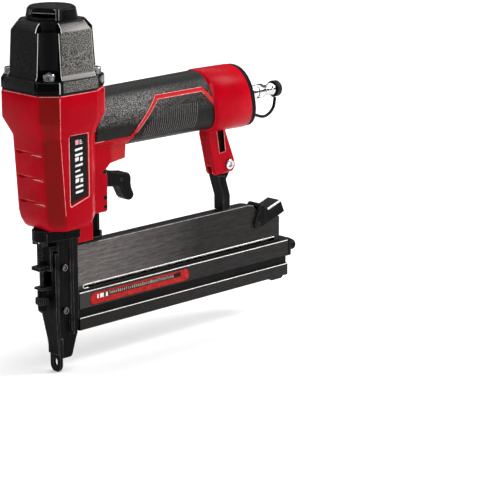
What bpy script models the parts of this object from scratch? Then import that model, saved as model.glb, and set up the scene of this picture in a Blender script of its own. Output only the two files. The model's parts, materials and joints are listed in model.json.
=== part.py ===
"""Pneumatic brad nailer and stapler, modelled as the pieces it comes apart into.

Frame: +Z runs up the cylinder, +X runs back along the handle and the magazine, and the side with
the magazine label faces -Y. The origin is the centre of the contact foot's lower end.
Lengths in this file are millimetres. new_object() turns them into metres.
"""

import math

import bmesh
import bpy
from mathutils import Matrix, Vector

MM = 0.001
GAP = 0.3  # clearance between pieces that touch

# Cylinder housing
AXIS_X = 2.5  # the cylinder's axis stands at this X
SEAM_Z = 194.6  # joint between the housing and the cap
FLANGE_HALF = 28.7
FLANGE_LOW_Z = 176.0
BODY_HALF = 23.4
BODY_TOP_Z = 164.0
BODY_LOW_Z = 113.0
BODY_BOTTOM_Z = 101.0
GASKET = 0.6
CHAMBER_RADIUS = 22.5  # above the cylinder sleeve
RETURN_RADIUS = 18.3  # around the cylinder sleeve
SLEEVE_OUTER = 16.0
SLEEVE_INNER = 14.5
SLEEVE_LOW_Z = 114.6
SLEEVE_TOP_Z = 206.0
GROOVE_HEIGHTS = (120.1, 136.6, 153.2)
FRONT_FACE = (-20.6, 163.4)  # X and Z of the sloping front face's upper end
FRONT_SLOPE = 0.0635  # how far the front face leans back per unit of height

# Cap and exhaust deflector
CAP_LEDGE_Z = 203.0
CAP_SIDE_Z = 206.0
CAP_SHOULDER_Z = 233.5
CAP_TOP_Z = 239.4
CAP_HALF = 26.0
CAP_BORE = 21.0
TROUGH = (9.0, 22.6)  # radius of the corner troughs, and their distance from the axis along X and along Y
NOTCH = (8.4, 19.0)  # the same for the deeper notch at each trough's top
NOTCH_LOW_Z = 233.4
BOLT_REACH = 19.5  # cap bolts stand at this distance from the axis, along X and along Y
DEFLECTOR_TOP_Z = 248.0
DEFLECTOR_RADIUS = 17.2
OUTLET_TURN = 28.0  # the outlet faces between the front and the left

# Handle
HANDLE_Z = 168.0
GRIP_HALF_Y = 15.8
GRIP_HALF_Z = 20.4
CORE_HALF_Y = 12.8
CORE_HALF_Z = 17.4
BORE_HALF_Y = 9.0
BORE_HALF_Z = 9.4
GRIP_FRONT_X = 27.0
END_TILT = 0.225  # X per Z of the rear collar's two end planes
SEAM_X = 133.6  # front of the rear collar, at the height of the handle's axis
COLLAR_X = 169.4  # rear of the rear collar, at the same height
COLLAR_HALF_Y = 17.7
COLLAR_HALF_Z = 23.2
PLATE = 2.4  # thickness of the end plate

# Air inlet
INLET_Z = 166.0
PLUG_TIP_X = 210.4

# Trigger
TRIGGER_PIN = (38.0, 133.0)  # X and Z
GUIDE_PINS = ((38.4, 115.4), (38.4, 109.1))
LUG_OUTER_Y = 9.0
LUG_INNER_Y = 5.3
PIN_SPAN = (-LUG_OUTER_Y - 0.4, LUG_OUTER_Y + 0.4)
STEM_X = 47.0
TRIP_PIN = (57.5, 124.0)
TRIGGER_HALF_Y = 4.7

# Nose
NOSE_HALF_Y = 8.3
NOSE_FRONT_X = -6.2
NOSE_REAR_X = 14.0
NOSE_TOP_Z = 100.6
NOSE_TIP_Z = 9.6
FLANGE_THICK = 8.1
NOSE_BOLTS = ((0.9, 73.8), (1.2, 44.0))  # X and Z
FLANGE_BOLTS = ((-11.9, -5.0), (-11.9, 5.0))  # X and Y
DRIVER_HALF_Y = 2.9
DRIVER_X = (1.9, 3.1)
DRIVER_TIP_Z = 84.5

# Safety linkage
FOOT_HALF_X = 1.1
FOOT_HALF_Y = 5.2
SAFETY_TRAVEL = 9.0
ADJUSTER_X = -11.4
BAR_X = (34.9, 36.5)
YOKE_Z = (86.2, 89.0)
YOKE_Y = (5.4, 6.9)

# Magazine
TRACK_HALF = 4.7
TRACK_WALL = 1.5
TRACK_TOP_Z = 85.4
TRACK_LOW_Z = 31.0
TRACK_FRONT_X = 14.6
TRACK_REAR_X = 211.5
BRACKET_FOOT_X = 157.0
SLIDE_FRONT_X = 14.6
SLIDE_REAR_X = 216.6
SLIDE_HALF = 8.1
SLIDE_INNER = 5.0
SLIDE_LOW_Z = 26.6
SLIDE_TOP_Z = 53.6
LABEL_X = (24.0, 116.0)
LABEL_Z = (42.8, 50.9)
RAIL_TOP_Z = 66.4
FEED_Z = 75.2  # height of the feed spring's rod
CATCH_TOP_Z = 77.5
LATCH_PIN = (187.0, 70.0)

# Support stalk under the rear collar
STALK_HALF_Y = 5.0
STALK_BOLT = (159.0, 118.8)

# Colour, roughness, metallic
PAINT = ("red_enamel", (0.39, 0.004, 0.013), 0.34, 0.0)
PLASTIC = ("black_plastic", (0.018, 0.018, 0.019), 0.55, 0.0)
RUBBER = ("black_rubber", (0.022, 0.021, 0.021), 0.75, 0.0)
BLACK_STEEL = ("blackened_steel", (0.026, 0.024, 0.024), 0.42, 0.7)
ANODISED = ("black_anodised", (0.024, 0.023, 0.023), 0.4, 0.8)
BRIGHT_STEEL = ("bright_steel", (0.62, 0.62, 0.63), 0.25, 1.0)
SPRING_STEEL = ("spring_steel", (0.36, 0.36, 0.38), 0.3, 1.0)
ALUMINIUM = ("aluminium", (0.5, 0.5, 0.52), 0.35, 1.0)
PLATED = ("plated_steel", (0.72, 0.72, 0.73), 0.15, 1.0)
BRASS = ("brass", (0.6, 0.42, 0.16), 0.3, 1.0)
SEAL = ("nitrile", (0.01, 0.01, 0.01), 0.6, 0.0)
INLAY = ("black_inlay", (0.012, 0.012, 0.014), 0.4, 0.0)
RED_LABEL = ("red_label", (0.55, 0.02, 0.015), 0.35, 0.0)
AMBER = ("bumper_urethane", (0.5, 0.22, 0.03), 0.45, 0.0)

AIM = {
    "x": Matrix.Rotation(math.radians(90), 4, "Y"),
    "y": Matrix.Rotation(math.radians(-90), 4, "X"),
    "z": Matrix.Identity(4),
}


# ---------------------------------------------------------------- building blocks


def clear_scene():
    for obj in list(bpy.data.objects):
        bpy.data.objects.remove(obj, do_unlink=True)


def material(look):
    name, colour, roughness, metallic = look
    found = bpy.data.materials.get(name)
    if found:
        return found
    made = bpy.data.materials.new(name)
    made.use_nodes = True
    shader = made.node_tree.nodes["Principled BSDF"]
    shader.inputs["Base Color"].default_value = (*colour, 1.0)
    shader.inputs["Roughness"].default_value = roughness
    shader.inputs["Metallic"].default_value = metallic
    made.diffuse_color = (*colour, 1.0)
    return made


def new_object(name, shape, look=None, origin=(0, 0, 0)):
    """Makes an object of a shape in millimetres. Its origin stays at the given point."""
    bmesh.ops.recalc_face_normals(shape, faces=shape.faces)
    bmesh.ops.translate(shape, verts=shape.verts, vec=-Vector(origin))
    bmesh.ops.scale(shape, verts=shape.verts, vec=(MM, MM, MM))
    mesh = bpy.data.meshes.new(name)
    shape.to_mesh(mesh)
    shape.free()
    mesh.shade_smooth()
    mesh.set_sharp_from_angle(angle=math.radians(32))
    obj = bpy.data.objects.new(name, mesh)
    obj.location = Vector(origin) * MM
    bpy.context.scene.collection.objects.link(obj)
    if look:
        mesh.materials.append(material(look))
    return obj


def helper(target, shape, rounding=0.0):
    """A hidden object that a Boolean joins to the target or cuts from it."""
    obj = new_object(target.name + "_helper", shape)
    obj.hide_render = True
    obj.display_type = "WIRE"
    if rounding:
        bevel(obj, rounding)
    return obj


def combine(target, operation, shapes, rounding=0.0):
    for shape in shapes:
        modifier = target.modifiers.new(operation.lower(), "BOOLEAN")
        modifier.operation = operation
        modifier.solver = "EXACT"
        modifier.object = helper(target, shape, rounding)


def join(target, *shapes, rounding=0.0):
    combine(target, "UNION", shapes, rounding)


def cut(target, *shapes, rounding=0.0):
    combine(target, "DIFFERENCE", shapes, rounding)


def keep(target, *shapes):
    combine(target, "INTERSECT", shapes)


def bevel(obj, width, segments=1, angle=40):
    modifier = obj.modifiers.new("bevel", "BEVEL")
    modifier.width = width * MM
    modifier.segments = segments
    modifier.limit_method = "ANGLE"
    modifier.angle_limit = math.radians(angle)


def box(x, y, z):
    """A box from three (low, high) pairs."""
    outline = [(x[0], y[0]), (x[1], y[0]), (x[1], y[1]), (x[0], y[1])]
    return prism(outline, "z", z)


def prism(outline, axis, span):
    """An outline extruded along an axis. It lists XY points for z, XZ for y and YZ for x."""
    place = {
        "x": lambda u, v, w: (w, u, v),
        "y": lambda u, v, w: (u, w, v),
        "z": lambda u, v, w: (u, v, w),
    }[axis]
    return loft([[place(u, v, w) for u, v in outline] for w in span])


def on_side(side, near, far):
    """A range of Y on one side of the middle plane."""
    return sorted((side * near, side * far))


def loft(rings):
    """A closed body through rings that have the same number of points."""
    shape = bmesh.new()
    loops = [[shape.verts.new(point) for point in ring] for ring in rings]
    for low, high in zip(loops, loops[1:]):
        for i, start in enumerate(low):
            j = (i + 1) % len(low)
            shape.faces.new((start, low[j], high[j], high[i]))
    shape.faces.new(loops[0])
    shape.faces.new(loops[-1])
    return shape


def turned(profile, axis="z", centre=(0, 0, 0), segments=24):
    """A body of revolution. Its profile lists (radius, height) pairs.

    A profile that starts and ends at radius 0 is solid, and any other closes on itself as a ring.
    """
    shape = bmesh.new()
    rings = []
    for radius, height in profile:
        if radius == 0:
            rings.append([shape.verts.new((0, 0, height))] * segments)
            continue
        turns = [2 * math.pi * i / segments for i in range(segments)]
        rings.append([shape.verts.new((radius * math.cos(t), radius * math.sin(t), height)) for t in turns])
    pairs = list(zip(rings, rings[1:]))
    if profile[0][0] > 0:
        pairs.append((rings[-1], rings[0]))
    for low, high in pairs:
        for i in range(segments):
            j = (i + 1) % segments
            corners = list(dict.fromkeys((low[i], low[j], high[j], high[i])))
            if len(corners) > 2:
                shape.faces.new(corners)
    shape.transform(Matrix.Translation(centre) @ AIM[axis])
    return shape


def rod(radius, axis, span, centre, segments=16):
    """A plain cylinder between two heights along its axis."""
    profile = [(0, span[0]), (radius, span[0]), (radius, span[1]), (0, span[1])]
    return turned(profile, axis, centre, segments)


def arc(centre, radius, start, end, steps):
    """Points on an arc, with its angles in degrees."""
    turns = [math.radians(start + (end - start) * i / steps) for i in range(steps + 1)]
    return [(centre[0] + radius * math.cos(t), centre[1] + radius * math.sin(t)) for t in turns]


def rounded_box_outline(u, v, radius, steps=4):
    """A rectangle with round corners, from two (low, high) pairs."""
    points = arc((u[1] - radius, v[0] + radius), radius, -90, 0, steps)
    points += arc((u[1] - radius, v[1] - radius), radius, 0, 90, steps)
    points += arc((u[0] + radius, v[1] - radius), radius, 90, 180, steps)
    points += arc((u[0] + radius, v[0] + radius), radius, 180, 270, steps)
    return points


def slot_outline(u, v, steps=6):
    """A slot with round ends, longer along the first axis or the second."""
    radius = min(u[1] - u[0], v[1] - v[0]) / 2 - 0.001
    return rounded_box_outline(u, v, radius, steps)


def oval(x, half_y, half_z, centre_z, tilt=0.0, steps=32, power=2.3):
    """A ring around the handle's axis, a little squarer than an ellipse, and tilted back by tilt."""
    ring = []
    for i in range(steps):
        turn = 2 * math.pi * (i + 0.5) / steps
        side = math.cos(turn)
        rise = math.sin(turn)
        y = math.copysign(abs(side) ** (2 / power), side) * half_y
        z = math.copysign(abs(rise) ** (2 / power), rise) * half_z
        ring.append((x - tilt * z, y, centre_z + z))
    return ring


def eight_sided(z, front, rear, half_y, front_cut, rear_cut):
    """The housing's outline at a height, with X from the cylinder's axis and (X, Y) corner cuts."""
    corners = [
        (-front, -half_y + front_cut[1]),
        (-front + front_cut[0], -half_y),
        (rear - rear_cut[0], -half_y),
        (rear, -half_y + rear_cut[1]),
        (rear, half_y - rear_cut[1]),
        (rear - rear_cut[0], half_y),
        (-front + front_cut[0], half_y),
        (-front, half_y - front_cut[1]),
    ]
    return [(AXIS_X + x, y, z) for x, y in corners]


def flange_ring(z, inset=0.0):
    half = FLANGE_HALF - inset
    return eight_sided(z, half, half, half, (10.2, 10.2), (15.4, 10.2))


def coil(radius, wire, turns, axis, span, centre, sides=5, per_turn=10):
    """A round-wire spring with its centre line on a helix."""
    rings = []
    count = int(turns * per_turn)
    length = span[1] - span[0] - 2 * wire
    rise = math.atan2(length / turns, 2 * math.pi * radius)
    for i in range(count + 1):
        turn = 2 * math.pi * i / per_turn
        along = span[0] + wire + length * i / count
        out = Vector((math.cos(turn), math.sin(turn), 0))
        up = Vector((math.sin(turn) * math.sin(rise), -math.cos(turn) * math.sin(rise), math.cos(rise)))
        middle = out * radius + Vector((0, 0, along))
        angles = [2 * math.pi * k / sides for k in range(sides)]
        rings.append([middle + out * wire * math.cos(a) + up * wire * math.sin(a) for a in angles])
    shape = loft(rings)
    shape.transform(Matrix.Translation(centre) @ AIM[axis])
    return shape


def socket_screw(head_radius, head_height, shank_radius, shank_length, axis, centre, sign=1):
    """A hex-socket screw with the underside of its head at the centre and its head along sign."""
    socket = head_radius * 0.55
    floor = head_height * 0.45
    profile = [
        (0, floor),
        (socket, floor),
        (socket, head_height),
        (head_radius - 0.4, head_height),
        (head_radius, head_height - 0.4),
        (head_radius, 0),
        (shank_radius, 0),
        (shank_radius, -shank_length),
        (0, -shank_length),
    ]
    profile = [(radius, height * sign) for radius, height in profile]
    return turned(profile, axis, centre, 12)


# ---------------------------------------------------------------- housing and handle


def grip_half_z(x):
    """The handle is a little taller at its rear."""
    return GRIP_HALF_Z + 1.1 * (x - GRIP_FRONT_X) / (SEAM_X - GRIP_FRONT_X)


def handle_loft(front, rear, shrink, rear_tilt):
    """The handle's outer shape, made smaller all round by shrink."""
    rings = []
    stations = 5
    for i in range(stations):
        share = i / (stations - 1)
        x = front + (rear - front) * share
        rings.append(oval(x, GRIP_HALF_Y - shrink, grip_half_z(x) - shrink, HANDLE_Z, rear_tilt * share))
    return loft(rings)


def trim_route():
    """Centre line of the red trim on the handle's side, as X and Z."""
    return [(57.0, 150.0), (59.6, 155.6), (81.0, 178.8), (123.5, 178.8), (140.0, 162.0)]


def trim_band(half_width, y):
    """A strip along the trim's route, from above the route to below it, through the handle."""
    route = [Vector(point) for point in trim_route()]
    upper = []
    lower = []
    for i, point in enumerate(route):
        before = (point - route[max(i - 1, 0)]).normalized()
        after = (route[min(i + 1, len(route) - 1)] - point).normalized()
        along = (before + after).normalized()
        normal = Vector((-along.y, along.x))
        stretch = 1 / max(0.6, normal.dot(Vector((-after.y, after.x))) if after.length else 1)
        upper.append(tuple(point + normal * half_width * stretch))
        lower.append(tuple(point - normal * half_width * stretch))
    return prism(upper + lower[::-1], "y", y)


def lower_grip_outline(inset):
    """Everything on the handle's side that lies below and behind the trim's route."""
    route = trim_route()
    points = [(route[0][0] + inset * 1.6, 140.0)]
    points += [(route[1][0] + inset * 1.5, route[1][1] - inset * 0.4)]
    points += [(route[2][0] + inset * 0.5, route[2][1] - inset)]
    points += [(route[3][0] - inset * 0.5, route[3][1] - inset)]
    points += [(route[4][0] + 9.0 - inset * 1.4, route[4][1] - 9.0)]
    points += [(150.0, 150.0), (150.0, 140.0)]
    return points


def collar_rings(shrink=0.0):
    """Rings of the red rear collar, from its seam with the grip to its rear end."""
    half_y = COLLAR_HALF_Y - shrink
    half_z = COLLAR_HALF_Z - shrink
    spigot = (CORE_HALF_Y - 1.0, CORE_HALF_Z - 1.0, HANDLE_Z, END_TILT)
    rings = [oval(SEAM_X - inside, *spigot) for inside in (3.0, 0.0)]
    for ahead, inset in ((0.0, 1.35), (1.2, 0.5), (3.0, 0.0)):
        rings.append(oval(SEAM_X + ahead, half_y - inset, half_z - inset, HANDLE_Z - 1.0, END_TILT))
    rings.append(oval(COLLAR_X - 1.2, half_y, half_z, HANDLE_Z - 1.5, END_TILT))
    rings.append(oval(COLLAR_X, half_y - 0.6, half_z - 0.6, HANDLE_Z - 1.5, END_TILT))
    return rings


def end_rings(start, thickness, inset):
    """A slice behind the rear collar, parallel to its rear end."""
    return [
        oval(start + ahead, COLLAR_HALF_Y - inset, COLLAR_HALF_Z - inset, HANDLE_Z - 1.5, END_TILT)
        for ahead in (0.0, thickness)
    ]


def housing_shell():
    rings = [
        eight_sided(BODY_BOTTOM_Z, 14.6, 18.6, 18.6, (7.0, 7.0), (8.0, 7.0)),
        eight_sided(103.0, 16.6, 20.6, 21.2, (8.2, 8.2), (9.4, 8.2)),
        eight_sided(107.5, 18.9, 22.4, 22.9, (9.0, 9.0), (10.6, 9.0)),
        eight_sided(BODY_LOW_Z, 20.2, 23.0, BODY_HALF, (9.2, 9.2), (10.9, 9.2)),
        eight_sided(BODY_TOP_Z, BODY_HALF, BODY_HALF, BODY_HALF, (9.2, 9.2), (10.9, 9.2)),
        flange_ring(FLANGE_LOW_Z),
        flange_ring(SEAM_Z - GASKET / 2 - GAP),
    ]
    return loft(rings)


def stalk_outline():
    """Side view of the stalk between the rear collar and the magazine's bracket."""
    front = [(139.0, 150.0), (139.0, 146.4), (138.2, 143.0), (145.3, 113.4), (147.0, 112.2)]
    rear = [(163.4, 113.0), (166.0, 116.4), (165.0, 122.0), (156.6, 143.0), (156.0, 150.0)]
    return [*front, *rear]


def trigger_mount_outline():
    """Side view of the lugs that hold the trigger, with the valve block above them."""
    return [
        (15.0, 160.0),
        (15.0, 105.8),
        (39.6, 105.4),
        (40.6, 106.6),
        (40.9, 130.5),
        (39.6, 134.4),
        (43.6, 138.0),
        (57.0, 139.8),
        (58.2, 153.0),
        (57.6, 160.0),
    ]


def label_outline(grow):
    """The side label, whose lower edge rises towards the rear."""
    left = -4.6 - grow
    right = 11.4 + grow
    top = 166.0 + grow
    lower = [(left, 119.6 - grow), (left + 1.0, 118.6 - grow), (right, 123.4 - grow)]
    return [(left, top), *lower, (right, top)]


def label_inlay_outline():
    return [(-3.4, 165.0), (-3.4, 120.6), (10.2, 124.6), (10.2, 165.0)]


def front_groove(z):
    """A shallow crease across the housing's front, with a deeper hollow near each end."""
    face = FRONT_FACE[0] + (FRONT_FACE[1] - z) * FRONT_SLOPE
    crease = rod(0.9, "y", (-13.4, 13.4), (face - 0.5, 0, z + 0.5), 10)
    hollow = [(0, -5.3), (0.8, -3.6), (1.35, -1.6), (1.35, 1.6), (0.8, 3.6), (0, 5.3)]
    hollows = [turned(hollow, "y", (face - 0.2, side * 8.6, z), 12) for side in (-1, 1)]
    return [crease, *hollows]


def build_housing():
    housing = new_object("body_housing", housing_shell(), PAINT)
    bevel(housing, 1.2, 2, 25)
    join(housing, prism(trigger_mount_outline(), "y", (-LUG_OUTER_Y, LUG_OUTER_Y)), rounding=0.7)
    join(housing, handle_core_front())
    join(housing, handle_loft(14.0, 137.0, GRIP_HALF_Y - CORE_HALF_Y, 0.0))
    join(housing, trim_solid())
    join(housing, loft(collar_rings()))
    join(housing, prism(stalk_outline(), "y", (-STALK_HALF_Y, STALK_HALF_Y)), rounding=1.0)
    join(housing, box((NOSE_REAR_X + GAP, 27.7), (-NOSE_HALF_Y, NOSE_HALF_Y), (88.0, 108.0)), rounding=0.5)
    cut_housing_bores(housing)
    cut_housing_openings(housing)
    return housing


def handle_core_front():
    """The red lower front of the handle, under the grip's front end."""
    outline = [(16.0, 155.2), (16.0, 140.0), (56.0, 140.0), (57.4, 150.0), (58.6, 155.2)]
    wedge = prism(outline, "y", (-30, 30))
    return intersection(handle_loft(16.0, 90.0, 0.0, 0.0), wedge)


def trim_solid():
    band = trim_band(1.5, (-30, 30))
    return intersection(handle_loft(40.0, 139.0, -0.15, 0.0), band)


def intersection(first, second):
    """The common part of two shapes, as a shape."""
    one = new_object("scratch_first", first)
    other = new_object("scratch_second", second)
    modifier = one.modifiers.new("common", "BOOLEAN")
    modifier.operation = "INTERSECT"
    modifier.solver = "EXACT"
    modifier.object = other
    graph = bpy.context.evaluated_depsgraph_get()
    result = bmesh.new()
    result.from_object(one, graph)
    bmesh.ops.scale(result, verts=result.verts, vec=(1 / MM, 1 / MM, 1 / MM))
    for obj in (one, other):
        bpy.data.objects.remove(obj, do_unlink=True)
    return result


def cut_housing_bores(housing):
    seat = SLEEVE_LOW_Z - GAP
    profile = [
        (0, 104.6),
        (14.0, 104.6),
        (14.0, seat),
        (RETURN_RADIUS, seat),
        (RETURN_RADIUS, FLANGE_LOW_Z + 2),
        (CHAMBER_RADIUS, FLANGE_LOW_Z + 2),
        (CHAMBER_RADIUS, SEAM_Z + 5),
        (0, SEAM_Z + 5),
    ]
    cut(housing, turned(profile, "z", (AXIS_X, 0, 0), 32))
    cut(housing, box((AXIS_X - 2.6, AXIS_X + 2.6), (-4.4, 4.4), (95.0, 106.0)))
    handle_bore = loft([oval(x, BORE_HALF_Y, BORE_HALF_Z, HANDLE_Z, steps=20) for x in (10.0, 190.0)])
    cut(housing, handle_bore)
    for x in (-1, 1):
        for y in (-1, 1):
            centre = (AXIS_X + x * BOLT_REACH, y * BOLT_REACH, 0)
            cut(housing, rod(2.7, "z", (180.0, 200.0), centre, 12))


def cut_housing_openings(housing):
    """Recesses and slots on the outside of the housing."""
    deep = 1.2
    for side in (-1, 1):
        face = side * BODY_HALF
        cut(housing, prism(label_outline(0.0), "y", sorted((face - side * deep, face + side * 9.0))))
    for z in GROOVE_HEIGHTS:
        cut(housing, *front_groove(z))
    trigger_slot = [(27.5, 100.0), (27.5, 136.0), (33.0, 141.5), (60.0, 143.0), (60.0, 100.0)]
    cut(housing, prism(trigger_slot, "y", (-LUG_INNER_Y, LUG_INNER_Y)))
    cut(housing, rod(5.3, "z", (140.0, 163.0), (STEM_X, 0, 0), 16))
    for x, z in (TRIGGER_PIN, *GUIDE_PINS):
        cut(housing, rod(1.7, "y", (-20, 20), (x, 0, z), 12))
    neck = ((12.0, 34.0), (-YOKE_Y[1] - 0.4, YOKE_Y[1] + 0.4), (80.0, YOKE_Z[1] + SAFETY_TRAVEL + 0.5))
    cut(housing, box(*neck))
    cut(housing, *[rod(1.5, "z", (90.0, 107.0), (x, y, 0), 10) for x, y in FLANGE_BOLTS])
    cut(housing, *stalk_recesses())


def stalk_recesses():
    outline = [(147.0, 144.5), (149.8, 128.0), (155.6, 128.6), (153.8, 144.5)]
    sides = [prism(outline, "y", on_side(side, 2.6, 9.0)) for side in (-1, 1)]
    slot_outline = [(144.0, 126.0), (144.0, 108.0), (168.0, 108.0), (168.0, 124.0), (150.0, 126.0)]
    slot = prism(slot_outline, "y", (-2.2, 2.2))
    centre = (STALK_BOLT[0], 0, STALK_BOLT[1])
    bolt = rod(2.4, "y", (-9.0, 9.0), centre, 12)
    seats = [rod(4.0, "y", on_side(side, 3.4, 9.0), centre, 16) for side in (-1, 1)]
    return [*sides, slot, bolt, *seats]


def build_grips():
    """The two rubber grips, with the red trim between them."""
    for name in ("grip_upper", "grip_lower"):
        grip = new_object(name, handle_loft(GRIP_FRONT_X, SEAM_X - GAP, 0.0, END_TILT), RUBBER)
        cut(grip, handle_loft(GRIP_FRONT_X - 9.0, SEAM_X + 14.0, GRIP_HALF_Y - CORE_HALF_Y - GAP, 0.0))
        if name == "grip_upper":
            cut(grip, prism(lower_grip_outline(-1.5 - GAP), "y", (-30, 30)))
            cut(grip, prism([(10.0, 155.5), (60.5, 155.5), (60.5, 130.0), (10.0, 130.0)], "y", (-30, 30)))
            cut(grip, loft([flange_ring(z, -GAP) for z in (FLANGE_LOW_Z - 1.0, 200.0)]))
            cut(grip, grip_front_relief())
        else:
            keep(grip, prism(lower_grip_outline(1.5 + GAP), "y", (-30, 30)))


def grip_front_relief():
    """The housing's own outline, with a gap, where the grip meets it."""
    rings = [
        eight_sided(140.0, 24.0, BODY_HALF + 0.9, BODY_HALF, (9.0, 9.0), (10.9, 9.2)),
        eight_sided(BODY_TOP_Z + 0.2, 24.0, BODY_HALF + 0.9, BODY_HALF + 1, (9.0, 9.0), (10.9, 9.2)),
        flange_ring(FLANGE_LOW_Z - 0.4, -0.5),
    ]
    return loft(rings)


# ---------------------------------------------------------------- cylinder and cap


def build_sleeve():
    profile = [
        (SLEEVE_INNER, SLEEVE_LOW_Z),
        (RETURN_RADIUS - GAP, SLEEVE_LOW_Z),
        (RETURN_RADIUS - GAP, SLEEVE_LOW_Z + 4),
        (SLEEVE_OUTER, SLEEVE_LOW_Z + 6),
        (SLEEVE_OUTER, 168.0),
        (RETURN_RADIUS - GAP, 170.0),
        (RETURN_RADIUS - GAP, 174.0),
        (SLEEVE_OUTER, 176.0),
        (SLEEVE_OUTER, SLEEVE_TOP_Z),
        (SLEEVE_INNER, SLEEVE_TOP_Z),
    ]
    new_object("cylinder_sleeve", turned(profile, "z", (AXIS_X, 0, 0), 32), ALUMINIUM)


def build_bumper():
    profile = [(4.6, 105.0), (13.6, 105.0), (13.6, 114.0), (11.5, 119.0), (5.4, 119.0), (4.6, 118.0)]
    new_object("piston_bumper", turned(profile, "z", (AXIS_X, 0, 0), 24), AMBER)


def build_driver():
    """The piston with its ring and the blade that strikes the fastener, at the top of the stroke."""
    top = SLEEVE_TOP_Z - 2.5
    origin = (AXIS_X, 0, top)
    profile = [
        (0, top - 9),
        (4.6, top - 9),
        (6.0, top - 6),
        (SLEEVE_INNER - GAP, top - 6),
        (SLEEVE_INNER - GAP, top - 4),
        (SLEEVE_INNER - 1.6, top - 4),
        (SLEEVE_INNER - 1.6, top - 2),
        (SLEEVE_INNER - GAP, top - 2),
        (SLEEVE_INNER - GAP, top),
        (0, top),
    ]
    piston = new_object("piston", turned(profile, "z", (AXIS_X, 0, 0), 32), ALUMINIUM, origin)
    cut(piston, box((AXIS_X - 0.9, AXIS_X + 0.9), (-3.3, 3.3), (top - 12, top - 3)))
    inner, outer = SLEEVE_INNER - 1.3, SLEEVE_INNER - 0.1
    ring = [(inner, top - 3.7), (outer, top - 3.7), (outer, top - 2.3), (inner, top - 2.3)]
    new_object("piston_ring", turned(ring, "z", (AXIS_X, 0, 0), 32), SEAL, origin)
    blade = box(DRIVER_X, (-DRIVER_HALF_Y, DRIVER_HALF_Y), (DRIVER_TIP_Z, top - 3.3))
    new_object("driver_blade", blade, BRIGHT_STEEL, origin)


def build_cap_gasket():
    low = SEAM_Z - GASKET / 2
    gasket = new_object("cap_gasket", loft([flange_ring(z, 0.5) for z in (low, low + GASKET)]), SEAL)
    cut(gasket, rod(CHAMBER_RADIUS, "z", (low - 3, low + 4), (AXIS_X, 0, 0), 32))
    cut(gasket, *cap_bolt_bores(2.7, (low - 3, low + 4)))


def cap_bolt_centres():
    return [(AXIS_X + x * BOLT_REACH, y * BOLT_REACH, 0) for x in (-1, 1) for y in (-1, 1)]


def cap_bolt_bores(radius, span):
    return [rod(radius, "z", span, centre, 12) for centre in cap_bolt_centres()]


def cap_ring(z, half, corner):
    return eight_sided(z, half, half, half, (corner, corner), (corner, corner))


def corner_rods(radius, reach, low):
    """One upright cutter at each corner of the cap, from the given height up."""
    span = (low, CAP_TOP_Z + 10)
    return [rod(radius, "z", span, (AXIS_X + x * reach, y * reach, 0), 16) for x in (-1, 1) for y in (-1, 1)]


def build_cap():
    low = SEAM_Z + GASKET / 2 + GAP
    base = [flange_ring(low), flange_ring(CAP_LEDGE_Z - 0.8), flange_ring(CAP_LEDGE_Z, 0.8)]
    cap = new_object("cylinder_cap", loft(base), PLASTIC)
    bevel(cap, 0.7, 1, 25)
    dome = [
        cap_ring(CAP_LEDGE_Z - 3, CAP_HALF + 0.4, 12.0),
        cap_ring(CAP_LEDGE_Z + 0.6, CAP_HALF + 0.4, 12.0),
        cap_ring(CAP_SIDE_Z, CAP_HALF - 0.4, 12.3),
        cap_ring(CAP_SHOULDER_Z, CAP_HALF - 1.4, 12.5),
        cap_ring(CAP_TOP_Z, CAP_HALF - 5.6, 11.0),
    ]
    join(cap, loft(dome), rounding=0.8)
    cut(cap, *corner_rods(*TROUGH, CAP_LEDGE_Z + 0.2))
    cut(cap, *corner_rods(*NOTCH, NOTCH_LOW_Z))
    cavity = [(0, 190.0), (CAP_BORE, 190.0), (CAP_BORE, 228.0), (CAP_BORE - 3, 232.0), (0, 232.0)]
    cut(cap, turned(cavity, "z", (AXIS_X, 0, 0), 32))
    cut(cap, rod(2.4, "z", (230.0, 260.0), (AXIS_X, 0, 0), 12))
    for turn in (1.0, 3.1, 5.2):
        port = (AXIS_X + 8.5 * math.cos(turn), 8.5 * math.sin(turn), 0)
        cut(cap, rod(2.2, "z", (230.0, 260.0), port, 6))
    cut(cap, *cap_bolt_bores(2.7, (190.0, 206.0)))


def build_cap_bolts():
    for number, (x, y, _) in enumerate(cap_bolt_centres(), 1):
        screw = socket_screw(4.1, 4.4, 2.4, 20.0, "z", (x, y, CAP_LEDGE_Z + 0.5))
        new_object(f"cap_bolt_{number}", screw, BLACK_STEEL)


def build_head_valve():
    """The valve that seals the top of the sleeve and the spring that closes it."""
    centre = (AXIS_X, 0, 0)
    low = SLEEVE_TOP_Z + GAP
    profile = [
        (0, low + 2.0),
        (SLEEVE_INNER - 3, low + 2.0),
        (SLEEVE_INNER - 2, low),
        (SLEEVE_OUTER + 1, low),
        (CAP_BORE - GAP, low + 1.5),
        (CAP_BORE - GAP, low + 6.5),
        (9.5, low + 7.5),
        (9.5, low + 20.0),
        (7.0, low + 20.0),
        (7.0, low + 6.0),
        (0, low + 6.0),
    ]
    new_object("head_valve", turned(profile, "z", centre, 32), PLASTIC, (AXIS_X, 0, low))
    new_object("head_valve_spring", coil(13.0, 0.9, 4, "z", (low + 8.2, 231.6), centre, 4, 12), SPRING_STEEL)


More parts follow.
